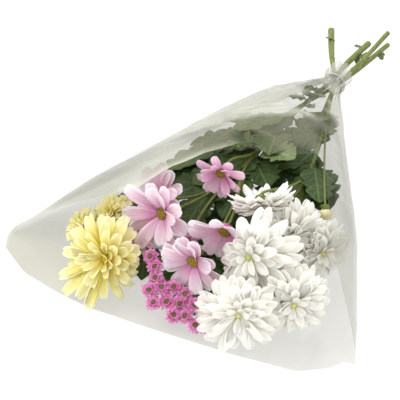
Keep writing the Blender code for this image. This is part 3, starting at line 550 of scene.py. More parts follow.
BUD_COLOURS = ((0.3, (0.55, 0.5, 0.2)), (0.7, (0.82, 0.79, 0.52)))
bud_cream, _ = grainy_finish("bud_cream", 0.5, 260.0, 2.0, BUD_COLOURS, (0.4, 0.0008))
bm = bmesh.new()
bmesh.ops.create_uvsphere(bm, u_segments=32, v_segments=18, radius=1.0)
for vert in bm.verts:
    x, y, z = vert.co
    turn = math.atan2(y, x)
    # Petal edges wind up to the tip as shallow grooves
    groove = max(0.0, math.cos(9 * turn + 5 * z)) ** 6
    reach = BUD_RADIUS * (1 - 0.09 * groove * (1 - abs(z) ** 4)) * MM
    vert.co = Vector((x, y, 0.92 * z - 0.1 * max(0.0, z - 0.75))) * reach
bmesh.ops.transform(bm, matrix=bud_stand, verts=bm.verts[:])
finished_piece("white_bud_ball", bm, bud_cream, "bud_cream", "white_bud")

# Small magenta blooms: fifteen heads on fine stalks, in one flat head whose petals touch.
# Each has three rings of short petals round a green, grainy disc.
CLUSTER_CENTRES = (
    (407, -28), (414, -18), (423, -12), (436, -12), (428, -1), (422, 11), (422, 25), (445, -1),
    (437, 11), (433, 24), (445, 24), (440, 36), (427, 40), (443, 50), (439, 62),
)
CLUSTER_PLANE_POINT = Vector((434, 20, 27))
CLUSTER_HEADING, CLUSTER_PITCH = 20, 60
CLUSTER_RADIUS = 9.2
# The turn from each floret of a disc to the next
SPIRAL_STEP = math.radians(137.508)
rng = random.Random(7)
cluster_way = facing(Vector(), CLUSTER_HEADING, CLUSTER_PITCH).to_3x3() @ Vector((0, 0, 1))
cluster_stands = []
for x, y in CLUSTER_CENTRES:
    height = (CLUSTER_PLANE_POINT - Vector((x, y, 0))).dot(cluster_way) / cluster_way.z
    heading, pitch = CLUSTER_HEADING + rng.uniform(-22, 22), CLUSTER_PITCH + rng.uniform(-14, 14)
    cluster_stands.append(facing(spot((x, y, height)), heading, pitch, rng.uniform(0, 45)))
around = tree_without("stem_magenta")
for k, stand in enumerate(cluster_stands):
    axis = axis_of(stand)
    start, way = point_along(ways["stem_magenta"], 0.8 + 0.19 * k / len(cluster_stands))
    end = stand.translation - axis * 0.6 * MM
    points = branch_points(start, way, end, axis, 0.9 * MM, 4, around)
    add_run(stalks["stem_magenta"], points, [0.9 * MM] * BRANCH_STEPS, resolution=2)
    add_cup(stalks["stem_magenta"], stand @ Matrix.Translation((0, 0, -0.2 * MM)), rng, 0.42)

# Rows of a petal from root to tip: place along it and share of its greatest half width
POINTED = (
    (0, 0.26), (0.13, 0.46), (0.28, 0.72), (0.44, 0.92), (0.6, 1.0), (0.74, 0.95), (0.86, 0.76), (0.95, 0.45),
    (1, 0.14),
)
BLUNT = (
    (0, 0.24), (0.13, 0.4), (0.28, 0.64), (0.44, 0.85), (0.6, 0.97), (0.74, 1.0), (0.86, 0.93), (0.95, 0.72),
    (1, 0.4),
)


def lay_blade(bm, stand, made, spots, uv):
    """Gives a petal or leaf its map, across and along, and puts it in its place."""
    for face in {face for vert in made for face in vert.link_faces}:
        for loop in face.loops:
            along, across = spots[loop.vert]
            loop[uv].uv = (across * 0.5 + 0.5, along)
    bmesh.ops.transform(bm, matrix=stand, verts=made)


def add_petal(
    bm, stand, length, width, root_pitch, tip_pitch, rows, tone, cup=0.25, ridge=0.0, notch=0.0, columns=4, twist=0.0,
):
    """A petal along +X: a grid bent along its length, cupped across, with grooves and a notched tip."""
    tone_layer = bm.verts.layers.float.get("tone") or bm.verts.layers.float.new("tone")
    uv = bm.loops.layers.uv.get("petal") or bm.loops.layers.uv.new("petal")
    made = bmesh.ops.create_grid(bm, x_segments=len(rows) - 1, y_segments=columns, size=1.0)["verts"]
    first, last = math.radians(root_pitch), math.radians(tip_pitch)
    line, at = [], Vector((0, 0, 0))
    for k, (along, _) in enumerate(rows):
        angle = first + (last - first) * along
        if k:
            at = at + Vector((math.cos(angle), 0, math.sin(angle))) * length * (along - rows[k - 1][0])
        line.append((at.copy(), angle))
    spots = {}
    for vert in made:
        k = round((vert.co.x + 1) / 2 * (len(rows) - 1))
        across = vert.co.y
        along, share = rows[k]
        centre, angle = line[k]
        half = width / 2 * share
        rise = cup * half * across**2 + ridge * math.cos(across * math.pi * 2.5) * share
        back = notch * length * math.cos(across * math.pi * 1.5) ** 2 * max(0.0, along - 0.86) / 0.14
        lean = Matrix.Rotation(twist * along, 3, "X")
        offset = lean @ Vector((0, half * across, rise))
        spots[vert] = (along, across)
        vert[tone_layer] = tone
        vert.co = centre + Vector((math.cos(angle), 0, math.sin(angle))) * -back
        vert.co += Vector((-math.sin(angle) * offset.z, offset.y, math.cos(angle) * offset.z))
    lay_blade(bm, stand, made, spots, uv)


def petal_finish(name, stops, streak_colour, streak_share, pale, grooves=0.4, down=0.0):
    """A petal's colour runs from root to tip, with fine streaks along it, and differs a little between petals."""
    made, tree, shader = new_finish(name, 0.5)
    uv = add_node(tree, "ShaderNodeUVMap", uv_map="petal").outputs["UV"]
    parts = add_node(tree, "ShaderNodeSeparateXYZ", {"Vector": uv})
    tone = add_node(tree, "ShaderNodeAttribute", attribute_name="tone").outputs["Fac"]
    along = ramp(tree, parts.outputs["Y"], stops)
    stretched = add_node(tree, "ShaderNodeCombineXYZ", {
        "X": maths(tree, "MULTIPLY", parts.outputs["X"], 16.0),
        "Y": maths(tree, "MULTIPLY", parts.outputs["Y"], 1.6),
        "Z": maths(tree, "MULTIPLY", tone, 40.0),
    })
    streaks = grain(tree, 1.0, 3.0, stretched.outputs[0])
    lines = ramp(tree, streaks, ((0.42, (0, 0, 0)), (0.68, (streak_share,) * 3)))
    colour = mixed(tree, lines, along, streak_colour)
    colour = mixed(tree, maths(tree, "MULTIPLY", tone, 0.35), colour, pale)
    tree.links.new(colour, shader.inputs["Base Color"])
    shader.inputs["Subsurface Weight"].default_value = 0.7
    shader.inputs["Subsurface Radius"].default_value = (0.95, 0.93, 0.93)
    shader.inputs["Subsurface Scale"].default_value = 0.004
    shader.inputs["Sheen Weight"].default_value = down
    bump(tree, shader, streaks, grooves, 0.0005)
    return made


petal_magenta = petal_finish(
    "petal_magenta", ((0.0, (0.4, 0.015, 0.14)), (0.35, (0.56, 0.06, 0.27)), (1.0, (0.68, 0.16, 0.41))),
    (0.45, 0.02, 0.18), 0.5, (0.85, 0.42, 0.62),
)
# Rings: count, pitch at the root and at the tip, length (share of the radius), root height (mm), turn in steps
CLUSTER_RINGS = ((13, 12, -12, 1.12, 0.3, 0), (12, 32, 10, 0.96, 0.8, 0.5), (8, 54, 40, 0.68, 1.2, 0.2))
bm = bmesh.new()
for stand in cluster_stands:
    for count, first, last, length, height, begin in CLUSTER_RINGS:
        for k in range(count):
            turn = Matrix.Rotation(math.tau * (k + begin) / count + rng.uniform(-0.08, 0.08), 4, "Z")
            root = turn @ Matrix.Translation((2.4 * MM, 0, height * MM))
            reach = (CLUSTER_RADIUS * length * rng.uniform(0.8, 1.06) - 2.4) * MM
            tilt = rng.uniform(-12, 12)
            add_petal(
                bm, stand @ root, reach, 3.3 * MM, first + tilt, last + tilt, BLUNT[::2], rng.random(),
                cup=0.5, columns=2,
            )
cluster = finished_piece("magenta_heads", bm, petal_magenta, "petal_magenta", "magenta_petals")


def thicken(piece, thickness):
    """Gives a piece made of open petals or leaves its thickness."""
    wall = piece.modifiers.new("thickness", "SOLIDIFY")
    wall.thickness = thickness
    wall.offset = 0


thicken(cluster, 0.4 * MM)

disc_green, tree, shader = new_finish("disc_green", 0.65)
place = add_node(tree, "ShaderNodeTexCoord").outputs["Object"]
grains = add_node(tree, "ShaderNodeTexVoronoi", {"Vector": place, "Scale": 900.0})
green = ramp(tree, grains.outputs["Distance"], ((0.1, (0.3, 0.34, 0.05)), (0.6, (0.09, 0.12, 0.01))))
tree.links.new(green, shader.inputs["Base Color"])
bump(tree, shader, grains.outputs["Distance"], -0.6, 0.0006)


def add_disc(bm, stand, radius, height, florets, floret_radius):
    """A domed disc covered with small florets set in a spiral, as they grow."""
    sphere = bmesh.ops.create_uvsphere(bm, u_segments=16, v_segments=8, radius=1.0)["verts"]
    bmesh.ops.transform(bm, matrix=stand @ Matrix.Diagonal((radius, radius, height, 1)), verts=sphere)
    for k in range(florets):
        share = math.sqrt((k + 0.5) / florets)
        turn = k * SPIRAL_STEP
        lift = height * math.sqrt(max(0.0, 1 - 0.82 * share**2))
        place = Vector((radius * 0.93 * share * math.cos(turn), radius * 0.93 * share * math.sin(turn), lift))
        floret = bmesh.ops.create_icosphere(bm, subdivisions=1, radius=floret_radius)["verts"]
        bmesh.ops.transform(bm, matrix=stand @ Matrix.Translation(place), verts=floret)


bm = bmesh.new()
for stand in cluster_stands:
    add_disc(bm, stand @ Matrix.Translation((0, 0, 0.5 * MM)), 2.8 * MM, 1.6 * MM, 19, 0.5 * MM)
finished_piece("magenta_discs", bm, disc_green, "stem_green", "stem_magenta")

# Leaves: lobed and toothed chrysanthemum leaves on short stalks. Each has one paleness for both its sides, higher
# where it shows its underside; torn leaf stubs and knots are left on the bare ends of the stems.
# Each leaf: place along its stem, heading, pitch, roll (degrees), length, width (mm), paleness
LEAVES = {
    "stem_white": (
        (0.9, 38, -8, 20, 74, 50, 0.0), (0.52, 24, 5, 0, 96, 46, 0.25), (0.8, 5, -14, 0, 84, 46, 0.1),
        (0.56, 4, 5, 0, 100, 54, 0.15),
    ),
    "stem_pink": (
        (0.93, 70, 22, 10, 62, 42, 1.0), (0.8, 18, 18, 0, 78, 52, 0.5), (0.64, -10, 8, 10, 100, 56, 0.1),
        (0.97, -22, -6, 0, 90, 54, 0.15), (0.88, -44, 12, 0, 82, 46, 0.3), (0.45, -30, 28, 0, 28, 18, 0.2),
    ),
    "stem_yellow": (
        (0.74, -52, 10, 8, 92, 42, 0.4), (0.6, -8, 6, 0, 100, 54, 0.1), (0.62, -48, 6, 10, 80, 24, 0.6),
        (0.96, -18, 6, 0, 80, 44, 0.1), (0.42, -65, 16, 10, 34, 22, 0.3), (0.49, -60, 16, 10, 30, 18, 0.4),
    ),
    "stem_magenta": (
        (0.48, -14, 7, 0, 96, 56, 0.2), (0.7, 16, 8, 0, 76, 44, 0.1), (0.86, -16, 10, 0, 72, 40, 0.0),
        (0.93, 24, 10, 0, 70, 40, 0.0),
    ),
}
# Leaves low on the branches: where each leaves its stem, where its tip lies, width, roll, paleness
LOOSE_LEAVES = {
    "stem_pink": (
        ((100, -9, 56), (186, -49, 80), 30, 0, 0.9), ((230, -13, 64), (320, -27, 62), 50, 0, 0.0),
        ((211, -10, 60), (314, 9, 58), 44, 0, 0.05), ((206, -9, 62), (242, 31, 58), 48, 0, 0.05),
        ((190, -8, 63), (262, -20, 64), 46, 0, 0.1), ((190, -8, 64), (196, -52, 72), 40, 0, 1.0),
        ((176, -8, 62), (206, -38, 56), 34, 0, 0.1), ((26, -9, 47), (56, -12, 63), 25, 0, 0.0),
        ((284, -29, 62), (355, -22, 50), 44, 0, 0.05), ((240, -30, 62), (306, -62, 56), 50, 0, 0.1),
        ((214, -8, 62), (290, -44, 70), 48, 0, 0.1), ((40, -9.5, 49), (70, 3, 78), 20, 0, 0.2),
        ((34, -9, 48), (60, 14, 72), 16, 0, 0.3), ((70, -10, 53), (95, 17, 80), 15, 0, 0.4),
    ),
    "stem_yellow": (
        ((154, -54, 36), (271, -100, 56), 34, 0, 0.55), ((178, -63, 36), (279, -78, 46), 50, 0, 0.1),
        ((165, -58, 36), (226, -40, 50), 38, 0, 0.1), ((234, -78, 36), (318, -74, 40), 52, 0, 0.15),
        ((303, -94, 44), (351, -113, 52), 36, 0, 0.0), ((319, -50, 36), (408, -42, 28), 40, 0, 0.0),
    ),
    "stem_magenta": (
        ((242, 14, 22), (326, -16, 36), 50, 0, 0.05), ((283, 16, 22), (357, -8, 30), 44, 0, 0.0),
        ((330, 14, 20), (408, -2, 18), 40, 0, 0.0), ((330, 14, 20), (412, 30, 18), 40, 0, 0.0),
        ((320, 14, 20), (384, -34, 30), 40, 0, 0.0), ((250, 14, 22), (300, 60, 40), 52, 0, 0.05),
        ((196, 16, 23), (262, 40, 46), 46, 0, 0.05), ((330, 14, 18), (402, -18, 8), 46, 0, 0.0),
        ((330, 14, 18), (406, 12, 8), 46, 0, 0.0), ((345, 14, 16), (420, 34, 8), 42, 0, 0.0),
        ((150, 16, 24), (198, -26, 42), 36, 0, 0.05), ((170, 16, 24), (240, 34, 44), 52, 0, 0.05),
        ((260, 14, 22), (352, 40, 30), 56, 0, 0.0),
    ),
    "stem_white": (
        ((178, 55, 61), (250, 101, 76), 44, -10, 0.05), ((176, 50, 60), (272, 78, 56), 34, 10, 0.1),
        ((176, 50, 58), (206, -4, 53), 36, 0, 0.05), ((150, 42, 59), (200, 35, 55), 42, 0, 0.05),
        ((160, 46, 58), (214, 18, 40), 36, 0, 0.05), ((88, 30, 55), (126, 12, 90), 15, 0, 0.2),
        ((80, 28, 55), (120, 40, 82), 16, 0, 0.4), ((272, 87, 60), (347, 115, 50), 40, 0, 0.0),
        ((272, 87, 60), (347, 88, 40), 40, 0, 0.0),
    ),
}
# Ways to turn aside, raise and shorten a leaf until it is clear
LEAF_TRIALS = (
    (0, 0, 1), (0, 8, 1), (0, -8, 1), (10, 0, 1), (-10, 0, 1), (16, 8, 1), (-16, 8, 1), (0, 16, 0.9), (0, -16, 0.9),
    (22, 0, 0.85), (-22, 0, 0.85), (0, 0, 0.75), (12, 12, 0.75), (-12, -12, 0.75), (30, 10, 0.7), (-30, 10, 0.7),
    (0, 0, 0.55), (20, 0, 0.5), (-20, 0, 0.5),
)
# Torn stubs and knots on the bare ends: place along the stem, turn round it (degrees), kind
STEM_DETAILS = {
    "stem_white": (
        (0.06, 80, "stub"), (0.13, 200, "knot"), (0.19, 20, "knot"),
    ),
    "stem_pink": (
        (0.05, 100, "stub"), (0.1, 250, "stub"), (0.17, 60, "knot"),
    ),
    "stem_yellow": (
        (0.07, 300, "stub"), (0.13, 90, "stub"), (0.2, 200, "knot"),
    ),
    "stem_magenta": (
        (0.06, 30, "knot"), (0.12, 160, "stub"), (0.2, 270, "knot"),
    ),
}
# Where the gaps between a leaf's lobes lie along it
LEAF_NOTCHES = (0.36, 0.56, 0.75)

leaf_green, tree, shader = new_finish("leaf_green", 0.5)
shader.inputs["Specular IOR Level"].default_value = 0.3
uv = add_node(tree, "ShaderNodeUVMap", uv_map="leaf").outputs["UV"]
parts = add_node(tree, "ShaderNodeSeparateXYZ", {"Vector": uv})
pale = add_node(tree, "ShaderNodeAttribute", attribute_name="pale").outputs["Fac"]
aside = maths(tree, "ABSOLUTE", maths(tree, "SUBTRACT", parts.outputs["X"], 0.5))
ribs = maths(tree, "MULTIPLY", maths(tree, "SUBTRACT", parts.outputs["Y"], maths(tree, "MULTIPLY", aside, 0.5)), 6.0)
ribs = maths(tree, "ABSOLUTE", maths(tree, "SUBTRACT", maths(tree, "FRACT", ribs), 0.5))
side_veins = ramp(tree, ribs, ((0.0, (1, 1, 1)), (0.09, (0, 0, 0))))
midrib = ramp(tree, aside, ((0.012, (1, 1, 1)), (0.05, (0, 0, 0))))
veins = mixed(tree, 1.0, side_veins, midrib, "LIGHTEN")
place = add_node(tree, "ShaderNodeTexCoord").outputs["Object"]
mottle = add_node(tree, "ShaderNodeTexNoise", {"Vector": place, "Scale": 70.0, "Detail": 5.0})
dark = ramp(tree, mottle.outputs["Fac"], ((0.3, (0.012, 0.034, 0.004)), (0.7, (0.04, 0.074, 0.01))))
light = ramp(tree, mottle.outputs["Fac"], ((0.3, (0.15, 0.21, 0.075)), (0.7, (0.27, 0.33, 0.14))))
blade_green = mixed(tree, pale, dark, light)
vein_green = mixed(tree, pale, (0.075, 0.13, 0.03), (0.36, 0.42, 0.2))
tree.links.new(mixed(tree, veins, blade_green, vein_green), shader.inputs["Base Color"])
bump(tree, shader, mixed(tree, 0.6, mottle.outputs["Color"], veins), 0.4, 0.0008)


def leaf_half_width(along):
    """Half width of a leaf as a share of its widest: a stalk, then round lobes with small teeth, then a blunt tip."""
    if along < 0.15:
        return 0.07
    rise = min(1.0, (along - 0.15) / 0.24)
    body = math.sin(rise * math.pi / 2) ** 0.8 * (1 - max(0.0, (along - 0.62) / 0.385) ** 2.2)
    lobes = 1 - 0.3 * sum(math.exp(-(((along - notch) / 0.026) ** 2)) for notch in LEAF_NOTCHES)
    teeth = 1 - 0.12 * abs(math.sin(along * 34))
    return max(0.03, body * lobes * teeth) if along < 0.995 else 0.01


def add_leaf(bm, stand, length, width, droop, pale, wave):
    pale_layer = bm.verts.layers.float.get("pale") or bm.verts.layers.float.new("pale")
    uv = bm.loops.layers.uv.get("leaf") or bm.loops.layers.uv.new("leaf")
    made = bmesh.ops.create_grid(bm, x_segments=44, y_segments=6, size=1.0)["verts"]
    spots = {}
    for vert in made:
        along, across = (vert.co.x + 1) / 2, vert.co.y
        half = width / 2 * leaf_half_width(along)
        aside = abs(across) * half
        # Lobes point forward, the blade folds a little at the midrib and its edge waves
        forward = 0.07 * length * (aside / (width / 2)) * (1 - along)
        rise = 0.22 * aside - droop * length * along**2 + wave * across**2 * math.sin(along * 19 + pale * 5)
        spots[vert] = (along, across)
        vert[pale_layer] = pale
        vert.co = Vector((along * length + forward, across * half, rise))
    lay_blade(bm, stand, made, spots, uv)


def leaf_outline(length, width, droop):
    """The leaf's plain form, to see that it is clear."""
    half = width / 2
    points, faces = [], []
    for k, (along, share) in enumerate(((0.0, 0.08), (0.17, 0.1), (0.32, 0.74), (0.6, 1.0), (0.84, 0.62), (1.0, 0.02))):
        for side in (-1, 0, 1):
            aside = abs(side) * half * share
            points.append(Vector((along * length, side * half * share, 0.22 * aside - droop * length * along**2)))
        if k:
            low = 3 * k
            faces += [(low - 3, low - 2, low + 1, low), (low - 2, low - 1, low + 2, low + 1)]
    return points, faces


def leaf_trial(base, heading, pitch, roll, length, width, droop, around):
    """Turns or shortens a leaf until it is clear and tells how large it then is, or gives None if it never is."""
    for aside, up, shorter in LEAF_TRIALS:
        turn = Euler((0, math.radians(-pitch - up), math.radians(heading + aside))).to_matrix().to_4x4()
        stand = Matrix.Translation(base) @ turn @ Matrix.Rotation(math.radians(roll), 4, "X")
        points, faces = leaf_outline(length * shorter * MM, width * shorter * MM, droop)
        points = [stand @ p for p in points]
        if not BVHTree.FromPolygons(points, faces).overlap(around):
            return stand, shorter, (points, faces)
    return None


for stem_name in STEM_WAYS:
    rng = random.Random(stem_name + " leaves")
    around = tree_without(stem_name, 0.4 * MM)
    bm = bmesh.new()
    rows = []
    for share, *shape in LEAVES[stem_name]:
        rows.append((point_along(ways[stem_name], share)[0], *shape))
    spots = [point_along(run, k / 60)[0] for run in runs[stem_name] for k in range(61)]
    for start, tip, width, roll, pale in LOOSE_LEAVES[stem_name]:
        base = min(spots, key=lambda near: (near - spot(start)).length)
        way = (spot(tip) - base) / MM
        heading, pitch = math.atan2(way.y, way.x), math.asin(way.z / way.length)
        rows.append((base, math.degrees(heading), math.degrees(pitch), roll, way.length, width, pale))
    for base, heading, pitch, roll, length, width, pale in rows:
        droop = rng.uniform(0.04, 0.1)
        found = leaf_trial(base, heading, pitch, roll, length, width, droop, around)
        if found:
            stand, shorter, shape = found
            standing[stem_name].append(shape)
            add_leaf(bm, stand, length * shorter * MM, width * shorter * MM, droop, pale, 1.2 * MM)
    for share, turn, kind in STEM_DETAILS[stem_name]:
        radius = STEM_WAYS[stem_name][1] * MM
        place, way = point_along(ways[stem_name], share)
        outward = Matrix.Rotation(math.radians(turn), 3, way) @ way.orthogonal().normalized()
        if kind == "knot":
            knot = bmesh.ops.create_icosphere(stalks[stem_name], subdivisions=2, radius=radius * 0.72)["verts"]
            for vert in knot:
                vert.co *= 1 + 0.3 * noise.noise(vert.co * 900)
            bmesh.ops.translate(stalks[stem_name], vec=place + outward * radius * 0.6, verts=knot)
        else:
            for lean, size in ((0, 15), (50, 10), (-45, 8)):
                aim = (outward + way * 0.8).normalized().to_track_quat("X", "Z").to_matrix().to_4x4()
                tilt = Matrix.Rotation(math.radians(lean), 4, "Z")
                add_leaf(bm, Matrix.Translation(place) @ aim @ tilt, size * MM, size * 0.62 * MM, 0.1, 0.35, 0.5 * MM)
    leaves = finished_piece(stem_name.replace("stem", "leaves"), bm, leaf_green, "stem_green", stem_name)
    thicken(leaves, 0.5 * MM)
    finished_piece(stem_name.replace("stem", "stalk"), stalks[stem_name], stalk_green, "stem_green", stem_name)

# Blooms: pink daisies with blunt grooved petals in two rings round an olive disc, white doubles with many pointed
# petals in seven rings round a small green eye, and pale yellow doubles with broad petals. A petal that would meet
# a neighbour closes up or stays shorter, as in a packed bunch, and is left out if that doesn't clear it.
# Rings: count, pitch at the root, pitch at the tip, length, width (shares of the radius), root height (mm)
PINK_RINGS = ((9, 18, -2, 1.08, 0.46, 2.2), (8, 32, 10, 1.0, 0.44, 3.4))
ROSE_RINGS = ((8, 26, 10, 1.0, 0.36, 2.2), (7, 42, 30, 0.9, 0.34, 3.4))
WHITE_RINGS = (
    (15, -8, -32, 1.06, 0.31, 2.0), (15, 1, -22, 1.04, 0.31, 3.2), (14, 9, -11, 1.0, 0.3, 4.5),
    (13, 17, -1, 0.92, 0.29, 6.0), (11, 26, 8, 0.8, 0.27, 7.6), (9, 34, 16, 0.62, 0.24, 9.2),
    (6, 42, 26, 0.42, 0.2, 10.4),
)
YELLOW_RINGS = (
    (13, -12, -46, 1.06, 0.3, 2.2), (13, 2, -26, 1.0, 0.28, 3.8), (12, 16, -4, 0.92, 0.26, 5.4),
    (11, 30, 12, 0.78, 0.24, 7.2), (9, 44, 30, 0.58, 0.21, 9.0), (7, 58, 50, 0.4, 0.17, 10.4),
)
# How far the petals on one side of a bloom fold up over it (degrees), and which side
CURLED = {
    "pink_1": (24, (0, 0, 1)), "pink_2": (22, (0, 0, 1)), "pink_3": (30, (0, 0, 1)), "pink_4": (10, (0, 0, 1)),
    "white_1": (12, (0.85, 0.5, -0.15)),
}
# Which way a bloom's petals reach furthest, and how much further (share of their length)
REACHING = {
    "pink_1": (((0.5, -0.85, 0), 0.65), ((1, 0, 0), 0.1)), "pink_5": (((-0.2, -0.9, 0.3), 0.15),),
    "yellow_1": (((0.2, -0.2, -1), 0.5), ((0.3, -0.9, 0), 0.12), ((0, 1, 0), -0.34)),
    "white_1": (((-0.4, -0.9, 0), -0.4), ((-1, 0.2, 0.3), 0.25), ((0.85, 0.5, -0.15), 0.35)),
    "pink_3": (((-0.8, -0.5, 0.35), 0.5), ((-0.5, 0.85, 0.2), 0.5)),
    "white_2": (((-0.85, -0.45, 0.3), -0.45), ((0.3, -0.95, 0), 0.25), ((0.1, 0, -1), 0.2)),
    "white_5": (((-0.9, -0.3, 0.3), 0.4),),
}
# Whose petals are laid later and give way to these
GIVING_WAY = {
    "pink_3": ("white_1_petals", "pink_7_petals"), "pink_1": ("pink_5_petals", "pink_6_petals", "yellow_2_petals"),
    "white_1": ("white_5_petals", "white_4_petals", "white_6_petals", "white_3_petals", "white_2_petals"),
    "white_2": ("white_3_petals",), "white_3": ("white_6_petals",), "white_4": ("white_6_petals",),
    "pink_2": ("pink_7_petals",), "yellow_1": ("yellow_2_petals", "yellow_3_petals", "pink_6_petals"),
}
# How far a petal stays above the floor (mm), and the ways to bend or shorten one until it is clear
LOWEST_PETAL = 1.5
PETAL_TRIALS = (
    (0, 1), (10, 1), (20, 1), (-10, 1), (30, 1), (0, 0.8), (42, 0.95), (15, 0.8), (30, 0.75), (54, 0.9), (0, 0.62),
    (25, 0.6), (66, 0.8),
)
petal_pink = petal_finish(
    "petal_pink",
    (
        (0.0, (0.62, 0.05, 0.28)), (0.25, (0.82, 0.24, 0.5)), (0.5, (0.9, 0.54, 0.7)), (0.85, (0.94, 0.8, 0.86)),
        (1.0, (0.95, 0.86, 0.9)),
    ),
    (0.76, 0.22, 0.5), 0.6, (0.95, 0.84, 0.88),
)
petal_rose = petal_finish(
    "petal_rose", ((0.0, (0.45, 0.05, 0.2)), (0.3, (0.64, 0.2, 0.4)), (1.0, (0.82, 0.48, 0.64))),
    (0.56, 0.14, 0.35), 0.55, (0.87, 0.62, 0.73),
)
petal_white = petal_finish(
    "petal_white",
    ((0.0, (0.86, 0.85, 0.5)), (0.18, (0.95, 0.93, 0.76)), (0.45, (0.98, 0.95, 0.83)), (1.0, (0.985, 0.96, 0.86))),
    (0.96, 0.925, 0.79), 0.3, (0.99, 0.97, 0.89), grooves=0.15, down=0.5,
)
petal_yellow = petal_finish(
    "petal_yellow",
    ((0.0, (0.84, 0.56, 0.0)), (0.3, (0.87, 0.68, 0.02)), (0.6, (0.88, 0.77, 0.16)), (1.0, (0.92, 0.86, 0.42))),
    (0.86, 0.64, 0.03), 0.5, (0.91, 0.86, 0.5),
)
OLIVE = ((0.35, (0.12, 0.09, 0.004)), (0.5, (0.27, 0.19, 0.008)), (0.68, (0.45, 0.34, 0.03)))
disc_olive, _ = grainy_finish("disc_olive", 0.6, 600.0, 2.0, OLIVE, (0.5, 0.0005))
eye_green, _ = grainy_finish("eye_green", 0.6, 500.0, 2.0, ((0.35, (0.6, 0.6, 0.1)), (0.65, (0.84, 0.82, 0.36))))


def petal_outline(length, width, root_pitch, tip_pitch):
    """The petal's plain form, to see that it is clear."""
    first, last = math.radians(root_pitch), math.radians(tip_pitch)
    middle = Vector((math.cos(first), 0, math.sin(first))) * length * 0.58
    tip = middle + Vector((math.cos(last), 0, math.sin(last))) * length * 0.42
    points = []
    for point, share in ((Vector(), 0.24), (middle, 1.0), (tip, 0.4)):
        points += [point - Vector((0, width / 2 * share, 0)), point + Vector((0, width / 2 * share, 0))]
    return points, [(0, 1, 3, 2), (2, 3, 5, 4)]


def add_bloom(name, rings, core, material, slot, rows, cup, ridge, notch):
    node = name + "_petals"
    radius = BLOOMS[name][3]
    stand, size = bloom_stand(name)
    rng = random.Random(name)
    kept_back = {other: standing.pop(other) for other in GIVING_WAY.get(name, ()) if other in standing}
    around = tree_without(node, 0.25 * MM)
    standing.update(kept_back)
    shapes = []
    bm = bmesh.new()
    core_radius = core * radius
    # The core that the petals stand in: the upper half of a ball, flat at its foot
    middle = bmesh.ops.create_uvsphere(bm, u_segments=14, v_segments=8, radius=1.0)["verts"]
    stretch = Matrix.Diagonal((core_radius * MM, core_radius * MM, size * 0.92 * MM, 1))
    bmesh.ops.transform(bm, matrix=stretch, verts=middle)
    for vert in middle:
        vert.co.z = max(0.0, vert.co.z)
    bmesh.ops.transform(bm, matrix=stand, verts=middle)
    begin = rng.uniform(0, 60)
    for count, root_pitch, tip_pitch, reach, width, root in rings:
        if radius < 30:
            count -= 1
        root_height = root * (1 if core < 0.28 else radius / 44)
        narrowing = 1.0 if core < 0.28 else math.sqrt(max(0.05, 1 - (root_height / size) ** 2))
        root_radius = core_radius * narrowing * 0.55 * MM
        begin += 180 / count
        for k in range(count):
            turn = begin + 360 * k / count + rng.uniform(-6, 6)
            length = radius * reach * rng.uniform(0.92, 1.04) * MM - root_radius
            tilt, lean = rng.uniform(-8, 8), rng.uniform(-14, 14)
            outward = stand.to_3x3() @ Vector((math.cos(math.radians(turn)), math.sin(math.radians(turn)), 0))
            for way, further in REACHING.get(name, ()):
                length *= 1 + further * max(0.0, outward.dot(Vector(way).normalized()))
            fold, side = CURLED.get(name, (0, (0, 0, 1)))
            tilt += fold * max(0.0, outward.dot(Vector(side)))
            for lift, shorter in PETAL_TRIALS:
                first, last = root_pitch + tilt + lift * 0.8, tip_pitch + tilt + lift * 1.15
                place = (
                    stand
                    @ Matrix.Rotation(math.radians(turn), 4, "Z")
                    @ Matrix.Translation((root_radius, 0, root_height * MM))
                    @ Matrix.Rotation(math.radians(lean), 4, "X")
                )
                points, faces = petal_outline(length * shorter, width * radius * MM, first, last)
                points = [place @ p for p in points]
                if min(p.z for p in points) < LOWEST_PETAL * MM or BVHTree.FromPolygons(points, faces).overlap(around):
                    continue
                shapes.append((points, faces))
                add_petal(
                    bm, place, length * shorter, width * radius * MM, first, last, rows, rng.random(),
                    cup=cup * rng.uniform(0.5, 1.5), ridge=ridge * MM, notch=notch * rng.uniform(0.2, 1.4),
                    twist=math.radians(rng.uniform(-14, 14)),
                )
                break
    standing[node] = shapes
    thicken(finished_piece(name + "_bloom", bm, material, slot, node), 0.35 * MM)


for name in (
    "pink_1", "pink_3", "white_1", "yellow_1", "pink_2", "white_2", "pink_4", "white_3", "yellow_2", "white_5",
    "white_4", "yellow_3", "pink_5", "pink_6", "white_6", "pink_7",
):
    stand, size = bloom_stand(name)
    if name.startswith("pink"):
        if name in ("pink_4", "pink_6", "pink_7"):
            add_bloom(name, ROSE_RINGS, 0.24, petal_rose, "petal_pink", BLUNT, 0.5, 0.3, 0.03)
        else:
            add_bloom(name, PINK_RINGS, 0.24, petal_pink, "petal_pink", BLUNT, 0.35, 0.4, 0.035)
        bm = bmesh.new()
        add_disc(bm, stand @ Matrix.Translation((0, 0, 5.3 * MM)), 0.18 * BLOOMS[name][3] * MM, 2.9 * MM, 46, 0.62 * MM)
        finished_piece(name + "_florets", bm, disc_olive, "disc_olive", name + "_disc")
    elif name.startswith("white"):
        add_bloom(name, WHITE_RINGS, 0.3, petal_white, "petal_white", POINTED, 0.35, 0.15, 0.0)
        bm = bmesh.new()
        add_disc(bm, stand @ Matrix.Translation((0, 0, size * MM)), 2.1 * MM, 1.6 * MM, 14, 0.5 * MM)
        finished_piece(name + "_eye", bm, eye_green, "centre_yellow", name + "_centre")
    else:
        add_bloom(name, YELLOW_RINGS, 0.3, petal_yellow, "petal_yellow", BLUNT, 0.6, 0.5, 0.05)

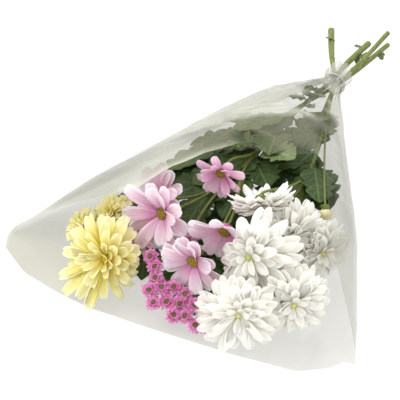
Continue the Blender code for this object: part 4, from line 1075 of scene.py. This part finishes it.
# Floor: plain, pale and smooth, with soft light from above and from the side.
# It gives off some light of its own, so that it stays nearly white behind the bunch.
floor_white, _, shader = new_finish("floor_white", 0.9)
shader.inputs["Base Color"].default_value = (0.26, 0.26, 0.26, 1)
shader.inputs["Specular IOR Level"].default_value = 0.0
shader.inputs["Emission Color"].default_value = (1, 1, 1, 1)
shader.inputs["Emission Strength"].default_value = 0.76
bm = bmesh.new()
bmesh.ops.create_grid(bm, x_segments=1, y_segments=1, size=6.0)
mesh = bpy.data.meshes.new("floor")
bm.to_mesh(mesh)
bm.free()
mesh.materials.append(floor_white)
floor = bpy.data.objects.new("floor", mesh)
bpy.context.scene.collection.objects.link(floor)

world = bpy.data.worlds.new("soft_room")
bpy.context.scene.world = world
world.use_nodes = True
world.node_tree.nodes["Background"].inputs["Color"].default_value = (1.0, 1.0, 1.0, 1)
world.node_tree.nodes["Background"].inputs["Strength"].default_value = 1.2


def soft_light(name, place, aim, size, power, colour=(1, 1, 1)):
    lamp = bpy.data.lights.new(name, "AREA")
    lamp.size = size
    lamp.energy = power
    lamp.color = colour
    made = bpy.data.objects.new(name, lamp)
    made.location = place
    made.rotation_euler = (Vector(aim) - Vector(place)).to_track_quat("-Z", "Y").to_euler()
    bpy.context.scene.collection.objects.link(made)


soft_light("window_light", (0.35, -1.1, 1.5), (0.1, 0, 0), 0.9, 16)
soft_light("top_light", (-0.7, -0.3, 1.6), (0.0, 0, 0.05), 0.4, 7)

# Camera: at the photograph's angle, above the flowers and to the right of the mouth.
# Its place and the point it is aimed at are in metres in the row's frame.
CAMERA_PLACE, CAMERA_AIM = Vector((1.00545, 0.47109, 0.8806)), Vector((0.09815, -0.05641, 0))
camera = bpy.data.cameras.new("camera")
camera.lens = 100
camera.sensor_width = 36
eye = bpy.data.objects.new("camera", camera)
eye.location = CAMERA_PLACE
eye.rotation_euler = (CAMERA_AIM - eye.location).to_track_quat("-Z", "Y").to_euler()
bpy.context.scene.collection.objects.link(eye)
bpy.context.scene.camera = eye
bpy.context.scene.view_settings.view_transform = "Standard"
